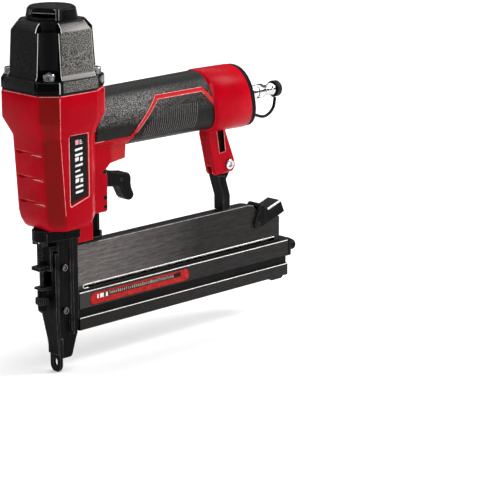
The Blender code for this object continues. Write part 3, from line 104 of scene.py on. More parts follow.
class Look:
    """A node material around one Principled shader."""

    def __init__(self, name, roughness, metallic=0.0, **sockets):
        self.material = bpy.data.materials.new(name)
        self.material.use_nodes = True
        self.tree = self.material.node_tree
        self.shader = self.tree.nodes["Principled BSDF"]
        self.shader.inputs["Roughness"].default_value = roughness
        self.shader.inputs["Metallic"].default_value = metallic
        for name_, value in sockets.items():
            self.shader.inputs[name_.replace("_", " ")].default_value = value
        self.where = self.node("ShaderNodeTexCoord").outputs["Object"]

    def node(self, kind, **settings):
        made = self.tree.nodes.new(kind)
        for key, value in settings.items():
            setattr(made, key, value)
        return made

    def feed(self, socket, value):
        if isinstance(value, bpy.types.NodeSocket):
            self.tree.links.new(value, socket)
        else:
            socket.default_value = value

    def math(self, operation, *values):
        made = self.node("ShaderNodeMath", operation=operation)
        for socket, value in zip(made.inputs, values):
            self.feed(socket, value)
        return made.outputs[0]

    def noise(self, scale, detail=3.0, stretch=(1, 1, 1), roughness=0.5):
        """Noise whose features are about 1 / scale metres, longer along a small stretch."""
        mapping = self.node("ShaderNodeMapping")
        mapping.inputs["Scale"].default_value = stretch
        self.feed(mapping.inputs["Vector"], self.where)
        made = self.node("ShaderNodeTexNoise")
        made.inputs["Scale"].default_value = scale
        made.inputs["Detail"].default_value = detail
        made.inputs["Roughness"].default_value = roughness
        self.feed(made.inputs["Vector"], mapping.outputs[0])
        return made.outputs["Fac"]

    def spread(self, value, low, high, start=0.0, end=1.0):
        """The value's range from low to high, stretched to run from start to end."""
        made = self.node("ShaderNodeMapRange")
        self.feed(made.inputs["Value"], value)
        for key, setting in (("From Min", low), ("From Max", high), ("To Min", start), ("To Max", end)):
            self.feed(made.inputs[key], setting)
        return made.outputs[0]

    def mix(self, share, first, second):
        made = self.node("ShaderNodeMix", data_type="RGBA")
        self.feed(made.inputs["Factor"], share)
        for socket, value in ((made.inputs[6], first), (made.inputs[7], second)):
            self.feed(socket, value if isinstance(value, bpy.types.NodeSocket) else (*value, 1.0))
        return made.outputs[2]

    def tint(self, value, low, high, first, second):
        """From the first colour to the second as the value goes from low to high."""
        return self.mix(self.spread(value, low, high), first, second)

    def product(self, *values):
        result = values[0]
        for value in values[1:]:
            result = self.math("MULTIPLY", result, value)
        return result

    def edges(self, radius=0.0006, low=0.004, high=0.10):
        """1 on the part's edges and 0 on its flat faces."""
        rounded = self.node("ShaderNodeBevel", samples=6)
        rounded.inputs["Radius"].default_value = radius
        flat = self.node("ShaderNodeNewGeometry").outputs["Normal"]
        turn = self.node("ShaderNodeVectorMath", operation="DOT_PRODUCT")
        self.feed(turn.inputs[0], rounded.outputs[0])
        self.feed(turn.inputs[1], flat)
        return self.spread(self.math("SUBTRACT", 1.0, turn.outputs["Value"]), low, high)

    def bump(self, *layers, soften=0.00035):
        """Bump layers, each (height, distance), over edges softened by a small radius."""
        rounded = self.node("ShaderNodeBevel", samples=4)
        rounded.inputs["Radius"].default_value = soften
        normal = rounded.outputs[0]
        for height, distance in layers:
            made = self.node("ShaderNodeBump")
            made.inputs["Distance"].default_value = distance
            self.feed(made.inputs["Height"], height)
            self.feed(made.inputs["Normal"], normal)
            normal = made.outputs[0]
        self.feed(self.shader.inputs["Normal"], normal)

    def colour(self, value):
        self.feed(self.shader.inputs["Base Color"], value)

    def roughness(self, value):
        self.feed(self.shader.inputs["Roughness"], value)

    def axis(self, name):
        """The position along an axis, in metres."""
        made = self.node("ShaderNodeSeparateXYZ")
        self.feed(made.inputs[0], self.where)
        return made.outputs[name]

    def facing(self, name):
        """How far the surface faces along an axis, from -1 to 1."""
        made = self.node("ShaderNodeSeparateXYZ")
        self.feed(made.inputs[0], self.node("ShaderNodeNewGeometry").outputs["Normal"])
        return made.outputs[name]


def shaded_chamfers(look):
    """1 on the housing's front corner chamfers, which are painted darker as shade."""
    front = look.spread(look.facing("X"), -0.45, -0.62)
    side = look.spread(look.math("ABSOLUTE", look.facing("Y")), 0.45, 0.62)
    ahead = look.spread(look.axis("X"), -0.004, -0.007)
    return look.product(front, side, ahead)


def zone(look, axis, low, high, soft=0.0006):
    """1 between two positions along an axis, with soft ends."""
    value = look.axis(axis)
    rise = look.spread(value, low - soft, low + soft)
    fall = look.spread(value, high + soft, high - soft)
    return look.product(rise, fall)


def highlit_trim_and_block(look):
    """1 on the grip's raised trim and on the valve block, which are painted paler as a highlight."""
    outside = look.spread(look.math("ABSOLUTE", look.axis("Y")), 0.0138, 0.0146)
    trim = look.product(zone(look, "X", 0.061, 0.133), outside)
    block = look.product(zone(look, "X", 0.0445, 0.060, 0.002), zone(look, "Z", 0.1375, 0.1535))
    return look.math("MAXIMUM", trim, look.product(block, 0.8))


def stalk_recess(look):
    """1 in the unpainted recesses on the stalk's sides."""
    inside = look.spread(look.math("ABSOLUTE", look.axis("Y")), 0.0046, 0.0043)
    length = look.product(zone(look, "X", 0.1465, 0.1565), zone(look, "Z", 0.1275, 0.1450))
    return look.product(inside, length)


def enamel():
    """Satin red enamel on a die casting, with faint orange peel, painted highlights on its edges, grip trim
    and valve block, and painted shade on its front corner chamfers.
    """
    look = Look("red_enamel_look", 0.28, Specular_IOR_Level=0.03)
    tone = look.tint(look.noise(34, 2.0), 0.35, 0.65, (0.32, 0.0001, 0.006), (0.41, 0.0003, 0.008))
    specks = look.spread(look.noise(1300, 2.0), 0.64, 0.80, 0.0, 0.20)
    tone = look.mix(specks, tone, (0.62, 0.05, 0.05))
    # Painted highlight: salmon on the grip's trim and on the valve block
    tone = look.mix(look.product(highlit_trim_and_block(look), 0.28), tone, (0.62, 0.10, 0.085))
    # Painted shade: the front corner chamfers are darkened
    tone = look.mix(look.product(shaded_chamfers(look), 0.68), tone, (0.13, 0.010, 0.006))
    # Painted highlight: pale pink along the edges
    tone = look.mix(look.product(look.edges(0.0007), 0.35), tone, (0.80, 0.12, 0.11))
    look.colour(look.mix(stalk_recess(look), tone, (0.012, 0.004, 0.004)))
    look.roughness(look.spread(look.noise(90, 4.0), 0.3, 0.7, 0.24, 0.36))
    look.bump((look.noise(650, 2.0), 0.00006), (look.noise(180, 2.0), 0.00012))
    return look.material


def channel_mask(look):
    """1 inside the cap's four corner channels and the notches above them."""
    masks = []
    for radius, reach in (CHANNEL, NOTCH):
        squares = []
        for name, middle in (("X", CYLINDER.x), ("Y", CYLINDER.y)):
            offset = look.math("ABSOLUTE", look.math("SUBTRACT", look.axis(name), middle))
            value = look.math("SUBTRACT", offset, reach)
            squares.append(look.product(value, value))
        distance = look.math("SQRT", look.math("ADD", *squares))
        masks.append(look.spread(distance, radius + 0.0003, radius + 0.0006, 1.0, 0.0))
    above = look.spread(look.axis("Z"), NOTCH_LOW - 0.0001, NOTCH_LOW)
    return look.math("MAXIMUM", masks[0], look.product(masks[1], above))


def cap_plastic():
    """Black glass-filled plastic with a coarse grain and smooth glossy corner channels, with painted light on
    the faces that look along Y and a painted highlight at the lower front corners.
    """
    look = Look("cap_plastic_look", 0.5, Specular_IOR_Level=0.07)
    smooth = channel_mask(look)
    grain = look.noise(1250, 3.0)
    specks = look.spread(grain, 0.42, 0.68)
    # Painted light: the grain is lighter on faces that look along Y than on faces that look along X
    side = look.spread(look.math("ABSOLUTE", look.facing("Y")), 0.55, 0.85)
    pits = look.mix(side, (0.004, 0.004, 0.004), (0.030, 0.029, 0.028))
    peaks = look.mix(side, (0.022, 0.021, 0.020), (0.25, 0.24, 0.225))
    grained = look.mix(specks, pits, peaks)
    # The side walls catch the light on the ledge above the seam and on the slope below the top
    height = look.axis("Z")
    ledge = look.product(look.spread(height, 0.2030, 0.2032), look.spread(height, 0.2064, 0.2060))
    bevels = look.math("ADD", look.spread(height, 0.2338, 0.2342), ledge)
    grained = look.mix(look.product(bevels, side, 0.8), grained, (0.36, 0.34, 0.32))
    # A painted highlight: the bright upright edge at the foot of the front corners
    outside = look.spread(look.math("ABSOLUTE", look.axis("Y")), 0.0276, 0.0280)
    corner = look.product(zone(look, "X", -0.0160, -0.0155, 0.0003), zone(look, "Z", 0.1950, 0.2026))
    tone = look.mix(smooth, grained, (0.002, 0.002, 0.0022))
    look.colour(look.mix(look.product(corner, outside), tone, (0.80, 0.77, 0.74)))
    look.roughness(look.spread(smooth, 0.0, 1.0, 0.50, 0.14))
    relief = look.product(grain, look.math("SUBTRACT", 1.0, smooth))
    look.bump((relief, 0.00035))
    return look.material


def moulded_black():
    """Smooth black moulding with a fine texture, and a painted highlight along its edges."""
    look = Look("moulded_black_look", 0.36, Specular_IOR_Level=0.04)
    texture = look.noise(1500, 2.0)
    tone = look.tint(texture, 0.45, 0.7, (0.0020, 0.0020, 0.0022), (0.010, 0.0095, 0.009))
    # Painted highlight: pale grey along the edges
    look.colour(look.mix(look.product(look.edges(0.0005), 0.30), tone, (0.20, 0.20, 0.19)))
    look.roughness(look.spread(look.noise(120, 3.0), 0.3, 0.7, 0.32, 0.5))
    look.bump((look.noise(1700, 2.0), 0.00009))
    return look.material


def grip_rubber():
    """Soft rubber with a pebbled grain, and a painted highlight band on its sides behind the housing."""
    look = Look("grip_rubber_look", 0.4, Specular_IOR_Level=0.08)
    grain = look.noise(1250, 3.0)
    # Painted highlight: a patchy pale band on faces between level and steeply upward, fading towards the rear
    upward = look.facing("Z")
    band = look.product(look.spread(upward, -0.12, 0.16), look.spread(upward, 0.74, 0.40))
    patches = look.spread(look.noise(45, 2.0), 0.35, 0.7, 0.55, 1.0)
    fading = look.spread(look.axis("X"), 0.112, 0.062, 0.22, 1.0)
    painted_highlight = look.product(band, look.product(fading, zone(look, "X", 0.020, 0.150)), patches)
    grains = look.mix(painted_highlight, (0.016, 0.015, 0.014), (0.50, 0.48, 0.46))
    base = look.mix(painted_highlight, (0.003, 0.0028, 0.0026), (0.050, 0.047, 0.045))
    look.colour(look.tint(grain, 0.44, 0.68, base, grains))
    look.roughness(look.spread(grain, 0.3, 0.7, 0.30, 0.46))
    look.bump((grain, 0.00030))
    return look.material


def rib_rubber():
    """The lower grip's ribs, painted paler than the pebbled rubber as a highlight on them."""
    look = Look("rib_rubber_look", 0.5, Specular_IOR_Level=0.1)
    look.colour(look.tint(look.noise(900, 2.0), 0.4, 0.7, (0.085, 0.078, 0.075), (0.16, 0.148, 0.142)))
    look.bump((look.noise(1500, 2.0), 0.00006))
    return look.material


def blackened_steel():
    """Black-oxide steel with fine vertical polish marks, and a patchy painted highlight along its edges."""
    look = Look("blackened_steel_look", 0.32, metallic=0.01, Specular_IOR_Level=0.04)
    marks = look.noise(900, 3.0, stretch=(1.0, 1.0, 0.05))
    tone = look.tint(marks, 0.4, 0.7, (0.0020, 0.0019, 0.0019), (0.0075, 0.0070, 0.0068))
    # Painted highlight along the edges, broken into patches
    highlight_edges = look.product(look.edges(0.0005), look.spread(look.noise(160, 3.0), 0.35, 0.65, 0.15, 0.75))
    look.colour(look.mix(highlight_edges, tone, (0.24, 0.23, 0.22)))
    look.roughness(look.spread(look.noise(70, 4.0), 0.3, 0.7, 0.30, 0.50))
    look.bump((marks, 0.00005))
    return look.material


def black_anodised():
    """Brushed black magazine metal, with long brush marks and a paler front end. Its top and end faces and
    the groove above the lower rail are painted near black as shade.
    """
    look = Look("black_anodised_look", 0.34, metallic=0.04, Specular_IOR_Level=0.08)
    long_marks = look.noise(620, 4.0, stretch=(0.035, 1.0, 1.0), roughness=0.65)
    short_marks = look.noise(900, 2.0, stretch=(0.16, 1.0, 1.0))
    streaks = look.math("ADD", look.product(long_marks, 0.35), look.product(short_marks, 0.3))
    marks = look.math("ADD", streaks, look.product(look.noise(1300, 2.0), 0.35))
    rearward = look.spread(look.axis("X"), 0.02, 0.13)
    brushed = look.spread(marks, 0.40, 0.66)
    pale = look.mix(brushed, (0.075, 0.068, 0.066), (0.21, 0.19, 0.182))
    dark = look.mix(brushed, (0.010, 0.0095, 0.009), (0.030, 0.0275, 0.027))
    level = look.axis("Z")
    upper = look.spread(level, 0.0565, 0.0575)
    shelf = look.tint(level, 0.0350, 0.0360, (0.012, 0.0112, 0.0105), (0.038, 0.0370, 0.0340))
    sides = look.mix(rearward, look.mix(upper, shelf, pale), dark)
    # Painted shadow: the groove between the slide's label and the lower rail is near black
    groove = look.product(look.spread(level, 0.0353, 0.0357), look.spread(level, 0.0421, 0.0417))
    inside = look.product(groove, look.spread(look.math("ABSOLUTE", look.axis("Y")), 0.0080, 0.0078))
    # Painted shade: faces that don't look along Y, such as the tops, are near black
    flanks = look.spread(look.math("ABSOLUTE", look.facing("Y")), 0.5, 0.8)
    sides = look.mix(flanks, (0.004, 0.0038, 0.0038), sides)
    look.colour(look.mix(inside, sides, (0.0015, 0.0015, 0.0015)))
    look.roughness(look.spread(look.noise(50, 3.0), 0.3, 0.7, 0.32, 0.5))
    look.bump((marks, 0.00005))
    return look.material


def bright_edge_highlight():
    """A near-white painted highlight line along the edges of the magazine and the latch and on the cap's
    ridges.
    """
    look = Look("bright_edge_highlight_look", 0.32, metallic=0.1)
    look.colour(look.tint(look.noise(500, 3.0), 0.35, 0.7, (0.62, 0.60, 0.57), (0.92, 0.90, 0.88)))
    look.bump((look.noise(1200, 2.0, stretch=(0.1, 1, 1)), 0.00003))
    return look.material


def bright_steel(name="bright_steel_look", pale=(0.74, 0.74, 0.75), roughness=0.24):
    """Bare metal of any tone, with fine scratches."""
    look = Look(name, roughness, metallic=1.0)
    scratches = look.noise(1400, 3.0, stretch=(1, 0.15, 1))
    dull = tuple(value * 0.62 for value in pale)
    look.colour(look.tint(scratches, 0.35, 0.65, dull, pale))
    look.roughness(look.spread(look.noise(200, 3.0), 0.3, 0.7, roughness * 0.7, roughness * 1.35))
    look.bump((scratches, 0.00002))
    return look.material


def plated():
    """Bright nickel plating with faint turning marks around the plug."""
    look = Look("plated_look", 0.14, metallic=1.0)
    rings = look.noise(2200, 2.0, stretch=(1.0, 0.05, 0.05))
    look.colour(look.tint(rings, 0.35, 0.65, (0.42, 0.42, 0.43), (0.70, 0.70, 0.71)))
    look.roughness(look.spread(look.noise(300, 3.0), 0.3, 0.7, 0.08, 0.22))
    look.bump((rings, 0.00003))
    return look.material


def cast_urethane():
    """The amber bumper that stops the piston."""
    look = Look("urethane_look", 0.45, Subsurface_Weight=0.2)
    look.colour(look.mix(look.noise(160, 3.0), (0.42, 0.17, 0.02), (0.60, 0.28, 0.05)))
    look.bump((look.noise(600, 2.0), 0.00005))
    return look.material


def label_film(name, low, high, roughness=0.28, shine=0.08):
    """A faintly mottled film or paint between two colours."""
    look = Look(name, roughness, Specular_IOR_Level=shine)
    look.colour(look.tint(look.noise(260, 3.0), 0.35, 0.65, low, high))
    look.roughness(look.spread(look.noise(90, 3.0), 0.3, 0.7, roughness * 0.8, roughness * 1.3))
    look.bump((look.noise(900, 2.0), 0.00002))
    return look.material


# The record's material slots, and the further looks that pieces use
LOOKS = {
    "red_enamel": enamel(),
    "cap": cap_plastic(),
    "black_plastic": moulded_black(),
    "black_rubber": grip_rubber(),
    "ribs": rib_rubber(),
    "blackened_steel": blackened_steel(),
    "black_anodised": black_anodised(),
    "bright_edge_highlight": bright_edge_highlight(),
    "oiled_steel": bright_steel("oiled_steel_look", (0.11, 0.11, 0.115), 0.12),
    "screw_steel": bright_steel("screw_steel_look", (0.42, 0.42, 0.43), 0.12),
    # A grey painted highlight line along the track's top edges and the outlet's rim
    "dim_edge_highlight": label_film("dim_edge_highlight_look", (0.16, 0.15, 0.145), (0.34, 0.32, 0.31), 0.35),
    "bright_steel": bright_steel(),
    "plated_steel": plated(),
    "spring_steel": bright_steel("spring_steel_look", (0.48, 0.48, 0.50), 0.3),
    "aluminium": bright_steel("aluminium_look", (0.66, 0.66, 0.68), 0.34),
    "brass": bright_steel("brass_look", (0.72, 0.50, 0.18), 0.26),
    "nitrile": label_film("nitrile_look", (0.003, 0.003, 0.003), (0.008, 0.008, 0.008), 0.5),
    "black_inlay": label_film("black_inlay_look", (0.0025, 0.0025, 0.003), (0.006, 0.006, 0.0065), 0.3),
    "red_label": label_film("red_label_look", (0.30, 0.004, 0.006), (0.44, 0.020, 0.015)),
    # Pale pink painted highlight lines on the red housing
    "enamel_highlight": label_film("enamel_highlight_look", (0.80, 0.16, 0.17), (0.92, 0.36, 0.33), 0.3),
    "white_print": label_film("white_print_look", (0.72, 0.70, 0.70), (0.88, 0.86, 0.86), 0.4),
    "pink_print": label_film("pink_print_look", (0.72, 0.20, 0.26), (0.85, 0.34, 0.38), 0.4),
    "grey_print": label_film("grey_print_look", (0.22, 0.20, 0.17), (0.44, 0.40, 0.34), 0.45),
    "bumper_urethane": cast_urethane(),
}
# CAD nodes whose look differs from their slot's
OWN_LOOK = {"cylinder_cap": "cap", "latch_pin_left": "blackened_steel", "latch_pin_right": "blackened_steel"}


# ---------------------------------------------------------------- the CAD nodes


def smooth(obj, angle=32):
    """Joins the triangles' shared corners and shades all but the sharp edges smooth."""
    weld = obj.modifiers.new("weld", "WELD")
    weld.merge_threshold = 0.00001
    split = obj.modifiers.new("split", "EDGE_SPLIT")
    split.split_angle = math.radians(angle)
    split.use_edge_sharp = False


def dress_cad():
    slots = {row["node"]: row["material_slot"] for row in frame["record"]["subparts"]}
    for name, obj in NODES.items():
        obj.data.materials.clear()
        obj.data.materials.append(LOOKS[OWN_LOOK.get(name, slots[name])])
        custom = obj.data.attributes.get("custom_normal")
        if custom:
            obj.data.attributes.remove(custom)
        obj.data.shade_smooth()
        smooth(obj)


# ---------------------------------------------------------------- building blocks


def finish_piece(name, shape, look, body, replaces=(), angle=32):
    """Turns a shape into a named piece that rides on a body, or on none yet."""
    bmesh.ops.recalc_face_normals(shape, faces=shape.faces)
    mesh = bpy.data.meshes.new(name)
    shape.to_mesh(mesh)
    shape.free()
    mesh.shade_smooth()
    mesh.set_sharp_from_angle(angle=math.radians(angle))
    mesh.materials.append(LOOKS[look])
    obj = bpy.data.objects.new(name, mesh)
    bpy.context.scene.collection.objects.link(obj)
    if replaces:
        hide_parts(*replaces)
    if body:
        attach(obj, body)
    return obj


def sweep(shape, path, radius, sides=8, closed=False):
    """Adds a round tube along a path to the shape, with one radius or one for each point."""
    count = len(path)
    radii = radius if isinstance(radius, list) else [radius] * count
    rings = []
    side = None
    for i, point in enumerate(path):
        before = path[i - 1] if (i or closed) else path[0]
        after = path[(i + 1) % count] if (i < count - 1 or closed) else path[-1]
        along = (after - before).normalized()
        if side is None:
            side = along.orthogonal().normalized()
        side = (side - along * side.dot(along)).normalized()
        other = along.cross(side)
        ring = []
        for k in range(sides):
            turn = 2 * math.pi * k / sides
            ring.append(shape.verts.new(point + (side * math.cos(turn) + other * math.sin(turn)) * radii[i]))
        rings.append(ring)
    pairs = list(zip(rings, rings[1:]))
    if closed:
        pairs.append((rings[-1], rings[0]))
    for low, high in pairs:
        for k in range(sides):
            j = (k + 1) % sides
            shape.faces.new((low[k], low[j], high[j], high[k]))
    if not closed:
        shape.faces.new(rings[0][::-1])
        shape.faces.new(rings[-1])


AIMS = {
    "+x": Matrix.Rotation(math.radians(90), 4, "Y"),
    "-x": Matrix.Rotation(math.radians(-90), 4, "Y"),
    "+y": Matrix.Rotation(math.radians(-90), 4, "X"),
    "-y": Matrix.Rotation(math.radians(90), 4, "X"),
    "+z": Matrix.Identity(4),
    "-z": Matrix.Rotation(math.radians(180), 4, "X"),
}


def lathe(profile, aim, centre, segments=64, shape=None, bored=False):
    """A turned body. Each profile row is (radius or a function of the angle, height) in millimetres.

    A bored body's last row joins its first, which leaves a hole through it.
    """
    shape = shape or bmesh.new()
    first = len(shape.verts)
    rings = []
    for radius, height in profile:
        ring = []
        for k in range(segments):
            turn = 2 * math.pi * k / segments
            size = radius(turn, height) if callable(radius) else radius
            ring.append(shape.verts.new(mm(size * math.cos(turn), size * math.sin(turn), height)))
        rings.append(ring)
    around = rings + rings[:1] if bored else rings
    for low, high in zip(around, around[1:]):
        for k in range(segments):
            j = (k + 1) % segments
            shape.faces.new((low[k], low[j], high[j], high[k]))
    if not bored:
        shape.faces.new(rings[0][::-1])
        shape.faces.new(rings[-1])
    shape.verts.ensure_lookup_table()
    place = Matrix.Translation(centre) @ AIMS[aim]
    bmesh.ops.transform(shape, matrix=place, verts=shape.verts[first:])
    return shape


def hexagon(across):
    """Radius of a hexagon of that width across its flats, in millimetres."""

    def radius(turn, _):
        return across / 2 / math.cos((turn + math.pi / 6) % (math.pi / 3) - math.pi / 6)

    return radius


def knurled(radius, depth, count):
    """That many soft flutes around a radius, in millimetres."""

    def size(turn, _):
        return radius - depth * (0.5 + 0.5 * math.cos(turn * count))

    return size


def threaded(radius, depth, pitch):
    """A helical thread: the depth of its groove depends on the angle and the height."""

    def size(turn, height):
        phase = (height / pitch - turn / (2 * math.pi)) % 1.0
        return radius - depth * (1 - abs(2 * phase - 1))

    return size


def socket_bolt(name, node, aim, head, look="bright_steel", slot=None, knurl=True):
    """A hex-socket bolt in place of one of the frame's CAD bolts, with a head of that height."""
    low, high = box_mm(node)
    middle = (low + high) / 2
    index = "xyz".index(aim[1])
    sign = 1 if aim[0] == "+" else -1
    across = [i for i in range(3) if i != index]
    radius = (high[across[0]] - low[across[0]]) / 2
    top = max(sign * low[index], sign * high[index])
    length = high[index] - low[index]
    base = middle.copy()
    base[index] = sign * (top - head)
    rim = knurled(radius, 0.045 * radius, 36) if knurl else radius
    socket = hexagon(radius * 1.02)
    profile = [
        (radius * 0.42, -(length - head)),
        (radius * 0.42, 0.0),
        (radius, 0.0),
        (rim, head * 0.08),
        (rim, head * 0.80),
        (radius * 0.97, head * 0.86),
        (radius * 0.90, head * 0.97),
        (radius * 0.84, head),
        (hexagon(radius * 1.10), head),
        (socket, head * 0.93),
        (socket, head * 0.42),
        (0.02, head * 0.30),
    ]
    shape = lathe(profile, aim, base * MM, segments=72)
    finish_piece(name, shape, look, "frame", [node], angle=28)


def strip_along_edges(name, node, keep, radius, look, body, slot=None, least_angle=24, sink=0.7):
    """Beads along the convex edges of a CAD node that pass the keep test.

    The test takes an edge's middle point in millimetres and its direction.
    """
    source = bmesh.new()
    source.from_mesh(NODES[node].data)
    bmesh.ops.remove_doubles(source, verts=source.verts, dist=0.00001)
    bmesh.ops.recalc_face_normals(source, faces=source.faces)
    links = {}
    inward = {}
    for edge in source.edges:
        if len(edge.link_faces) != 2 or math.degrees(edge.calc_face_angle(0)) < least_angle:
            continue
        if not edge.is_convex or edge.calc_length() < 0.00002:
            continue
        one, two = (vertex.co for vertex in edge.verts)
        if not keep((one + two) / 2 / MM, (two - one).normalized()):
            continue
        normal = (edge.link_faces[0].normal + edge.link_faces[1].normal).normalized()
        for start, end in (edge.verts, tuple(edge.verts)[::-1]):
            links.setdefault(start.index, set()).add(end.index)
            inward.setdefault(start.index, []).append(normal)
    source.verts.ensure_lookup_table()
    place = {}
    for index, normals in inward.items():
        normal = sum(normals, Vector()).normalized()
        place[index] = source.verts[index].co - normal * radius * sink
    shape = bmesh.new()
    for chain in chains_of(links):
        closed = chain[0] == chain[-1] and len(chain) > 3
        path = [place[index] for index in (chain[:-1] if closed else chain)]
        if len(path) > 1:
            sweep(shape, path, radius, closed=closed)
    source.free()
    if not shape.faces:
        raise RuntimeError(f"no edge of {node} was found for {name}")
    finish_piece(name, shape, look, body, angle=60)


def chains_of(links):
    """Splits a graph of linked points into runs without branches."""
    links = {key: set(value) for key, value in links.items()}
    chains = []
    ends = sorted(key for key, value in links.items() if len(value) != 2)
    for start in ends + sorted(links):
        while links[start]:
            chain = [start]
            here = start
            while links[here]:
                onward = min(links[here])
                links[here].discard(onward)
                links[onward].discard(here)
                chain.append(onward)
                here = onward
                if len(links[here]) != 1:
                    break
            chains.append(chain)
    return chains


def tree_of(node):
    """A CAD node's surface, to cast rays at."""
    source = bmesh.new()
    source.from_mesh(NODES[node].data)
    tree = BVHTree.FromBMesh(source)
    source.free()
    return tree


def side_hit(tree, side, x, z):
    """The point and the normal where a ray from that side meets the surface, or None twice."""
    return tree.ray_cast(mm(x, side * 40.0, z), Vector((0, -side, 0)))[:2]


# ---------------------------------------------------------------- pieces


def hardware():
    """The socket bolts and screws that can be seen."""
    for number in range(1, 5):
        screw = {"head": 4.4, "look": "screw_steel", "slot": "blackened_steel"}
        socket_bolt(f"cap_screw_{number}", f"cap_bolt_{number}", "+z", **screw)
    for name in ("nose_bolt_upper", "nose_bolt_lower"):
        oiled = {"look": "oiled_steel", "slot": "bright_steel"}
        socket_bolt(name + "_head", name, "-y", head=1.6, knurl=False, **oiled)
    for name in ("flange_bolt_left", "flange_bolt_right"):
        socket_bolt(name + "_head", name, "-z", head=2.2, look="blackened_steel")
    socket_bolt("stalk_screw", "bracket_bolt", "-y", head=2.2, knurl=False)
    socket_bolt("knob_screw", "deflector_screw", "+z", head=0.9, look="blackened_steel", knurl=False)


def air_fitting():
    """The plug with its plain root, hexagon, grooves and open bore. Heights start at its root."""
    low, high = box_mm("air_plug")
    centre = mm(low.x, 0, centre_of("air_plug").z / MM)
    length = high.x - low.x
    flats = hexagon(13.5)
    root = [(2.6, 0.0), (6.0, 0.0), (6.0, 15.4), (6.3, 15.8), (6.7, 16.0)]
    root += [(flats, 16.6), (flats, 20.0), (6.6, 20.6), (6.2, 21.0)]
    first = [(5.2, 21.2), (5.0, 22.2), (5.3, 22.8), (5.3, 27.8), (5.0, 28.2)]
    second = [(4.3, 28.6), (4.2, 29.4), (4.3, 30.4), (5.0, 30.9), (5.3, 31.3), (5.3, 36.4), (5.0, 37.0)]
    neck = [(4.0, 38.2), (3.8, 38.8), (3.8, length - 6.8), (4.0, length - 6.0)]
    nipple = [(4.5, length - 5.3), (4.6, length - 4.8), (4.6, length - 2.6)]
    nipple += [(4.4, length - 2.0), (3.9, length - 0.6), (3.5, length - 0.1)]
    bore = [(3.1, length), (2.6, length - 0.3), (2.5, length - 2.0), (2.5, 2.6)]
    shape = lathe([*root, *first, *second, *neck, *nipple, *bore], "+x", centre, segments=72)
    finish_piece("air_fitting", shape, "plated_steel", "frame", replaces=["air_plug"])


def dust_cover():
    """The rubber cap over the plug's tip, its bead, and the ring at the plug's root."""
    low, high = box_mm("dust_cap")
    centre = mm(low.x, 0, centre_of("dust_cap").z / MM)
    length = high.x - low.x
    ribs = knurled(5.9, 0.25, 24)
    inside = [(4.85, 2.7), (4.9, 0.3), (5.2, 0.05)]
    bead = [(5.7, 0.0), (6.0, 0.35), (6.0, 1.1), (5.8, 1.4)]
    crown = [(ribs, 1.7), (ribs, length - 1.4), (5.7, length - 1.0)]
    crown += [(5.3, length - 0.5), (4.4, length - 0.1), (1.5, length)]
    shape = lathe([*inside, *bead, *crown], "+x", centre, segments=96)
    finish_piece("dust_cover", shape, "black_rubber", "dust_cap", replaces=["dust_cap"], angle=50)
    low, high = box_mm("dust_cap_ring")
    middle = (low + high) / 2
    turns = [2 * math.pi * k / 48 for k in range(48)]
    path = [mm(middle.x, 8.75 * math.cos(t), middle.z + 8.75 * math.sin(t)) for t in turns]
    shape = bmesh.new()
    sweep(shape, path, 0.84 * MM, 12, closed=True)
    finish_piece("dust_cover_ring", shape, "black_rubber", "frame", replaces=["dust_cap_ring"], angle=60)


STRAP_ROUTE = (
    (177.6, 155.0),
    (182.0, 153.4),
    (190.0, 149.6),
    (198.4, 147.0),
    (204.8, 148.4),
    (209.4, 152.8),
    (210.9, 159.6),
)


def smooth_route(route, steps):
    """A Catmull-Rom curve through the route's points."""
    ends = [route[0] * 2 - route[1], *route, route[-1] * 2 - route[-2]]
    points = [route[0]]
    for a, b, c, d in zip(ends, ends[1:], ends[2:], ends[3:]):
        for i in range(1, steps + 1):
            t = i / steps
            square = 2 * a - 5 * b + 4 * c - d
            cube = 3 * b - a - 3 * c + d
            points.append(0.5 * (2 * b + (c - a) * t + square * t**2 + cube * t**3))
    return points


def dust_strap():
    """The strap's loop, between the tool and the cap."""
    route = smooth_route([mm(x, 0, z) for x, z in STRAP_ROUTE], 10)
    shape = bmesh.new()
    sweep(shape, route, 1.12 * MM, 14)
    piece = finish_piece("dust_strap", shape, "black_rubber", None, replaces=["dust_cap_strap"], angle=60)
    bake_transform(piece)


def adjuster():
    """The knurled depth wheel on its threaded screw."""
    low, high = box_mm("depth_wheel")
    middle = (low + high) / 2
    centre = mm(middle.x, middle.y, low.z)
    knurl = knurled(4.6, 0.45, 20)
    profile = [
        (1.8, 0.0),
        (2.4, 0.0),
        (2.8, 0.4),
        (3.2, 4.6),
        (3.4, 5.0),
        (4.2, 5.1),
        (knurl, 5.5),
        (knurl, 9.1),
        (4.2, 9.5),
        (3.3, 9.8),
        (3.1, 10.2),
        (3.1, 14.2),
        (2.8, 14.7),
        (1.8, 14.8),
    ]
    shape = lathe(profile, "+z", centre, segments=120, bored=True)
    finish_piece("depth_thumbwheel", shape, "blackened_steel", "depth_wheel", replaces=["depth_wheel"])
    low, high = box_mm("depth_screw")
    length = high.z - low.z
    thread = threaded(1.5, 0.22, 0.7)
    rows = int((length - 2.6) / 0.175)
    profile = [(1.2, 0.0)] + [(thread, 0.2 + 0.175 * i) for i in range(rows)]
    profile += [(1.4, length - 2.4), (1.9, length - 2.3), (1.9, length - 0.3), (1.6, length)]
    shape = lathe(profile, "+z", mm(middle.x, middle.y, low.z), segments=24)
    finish_piece("depth_stud", shape, "blackened_steel", "safety", replaces=["depth_screw"], angle=50)


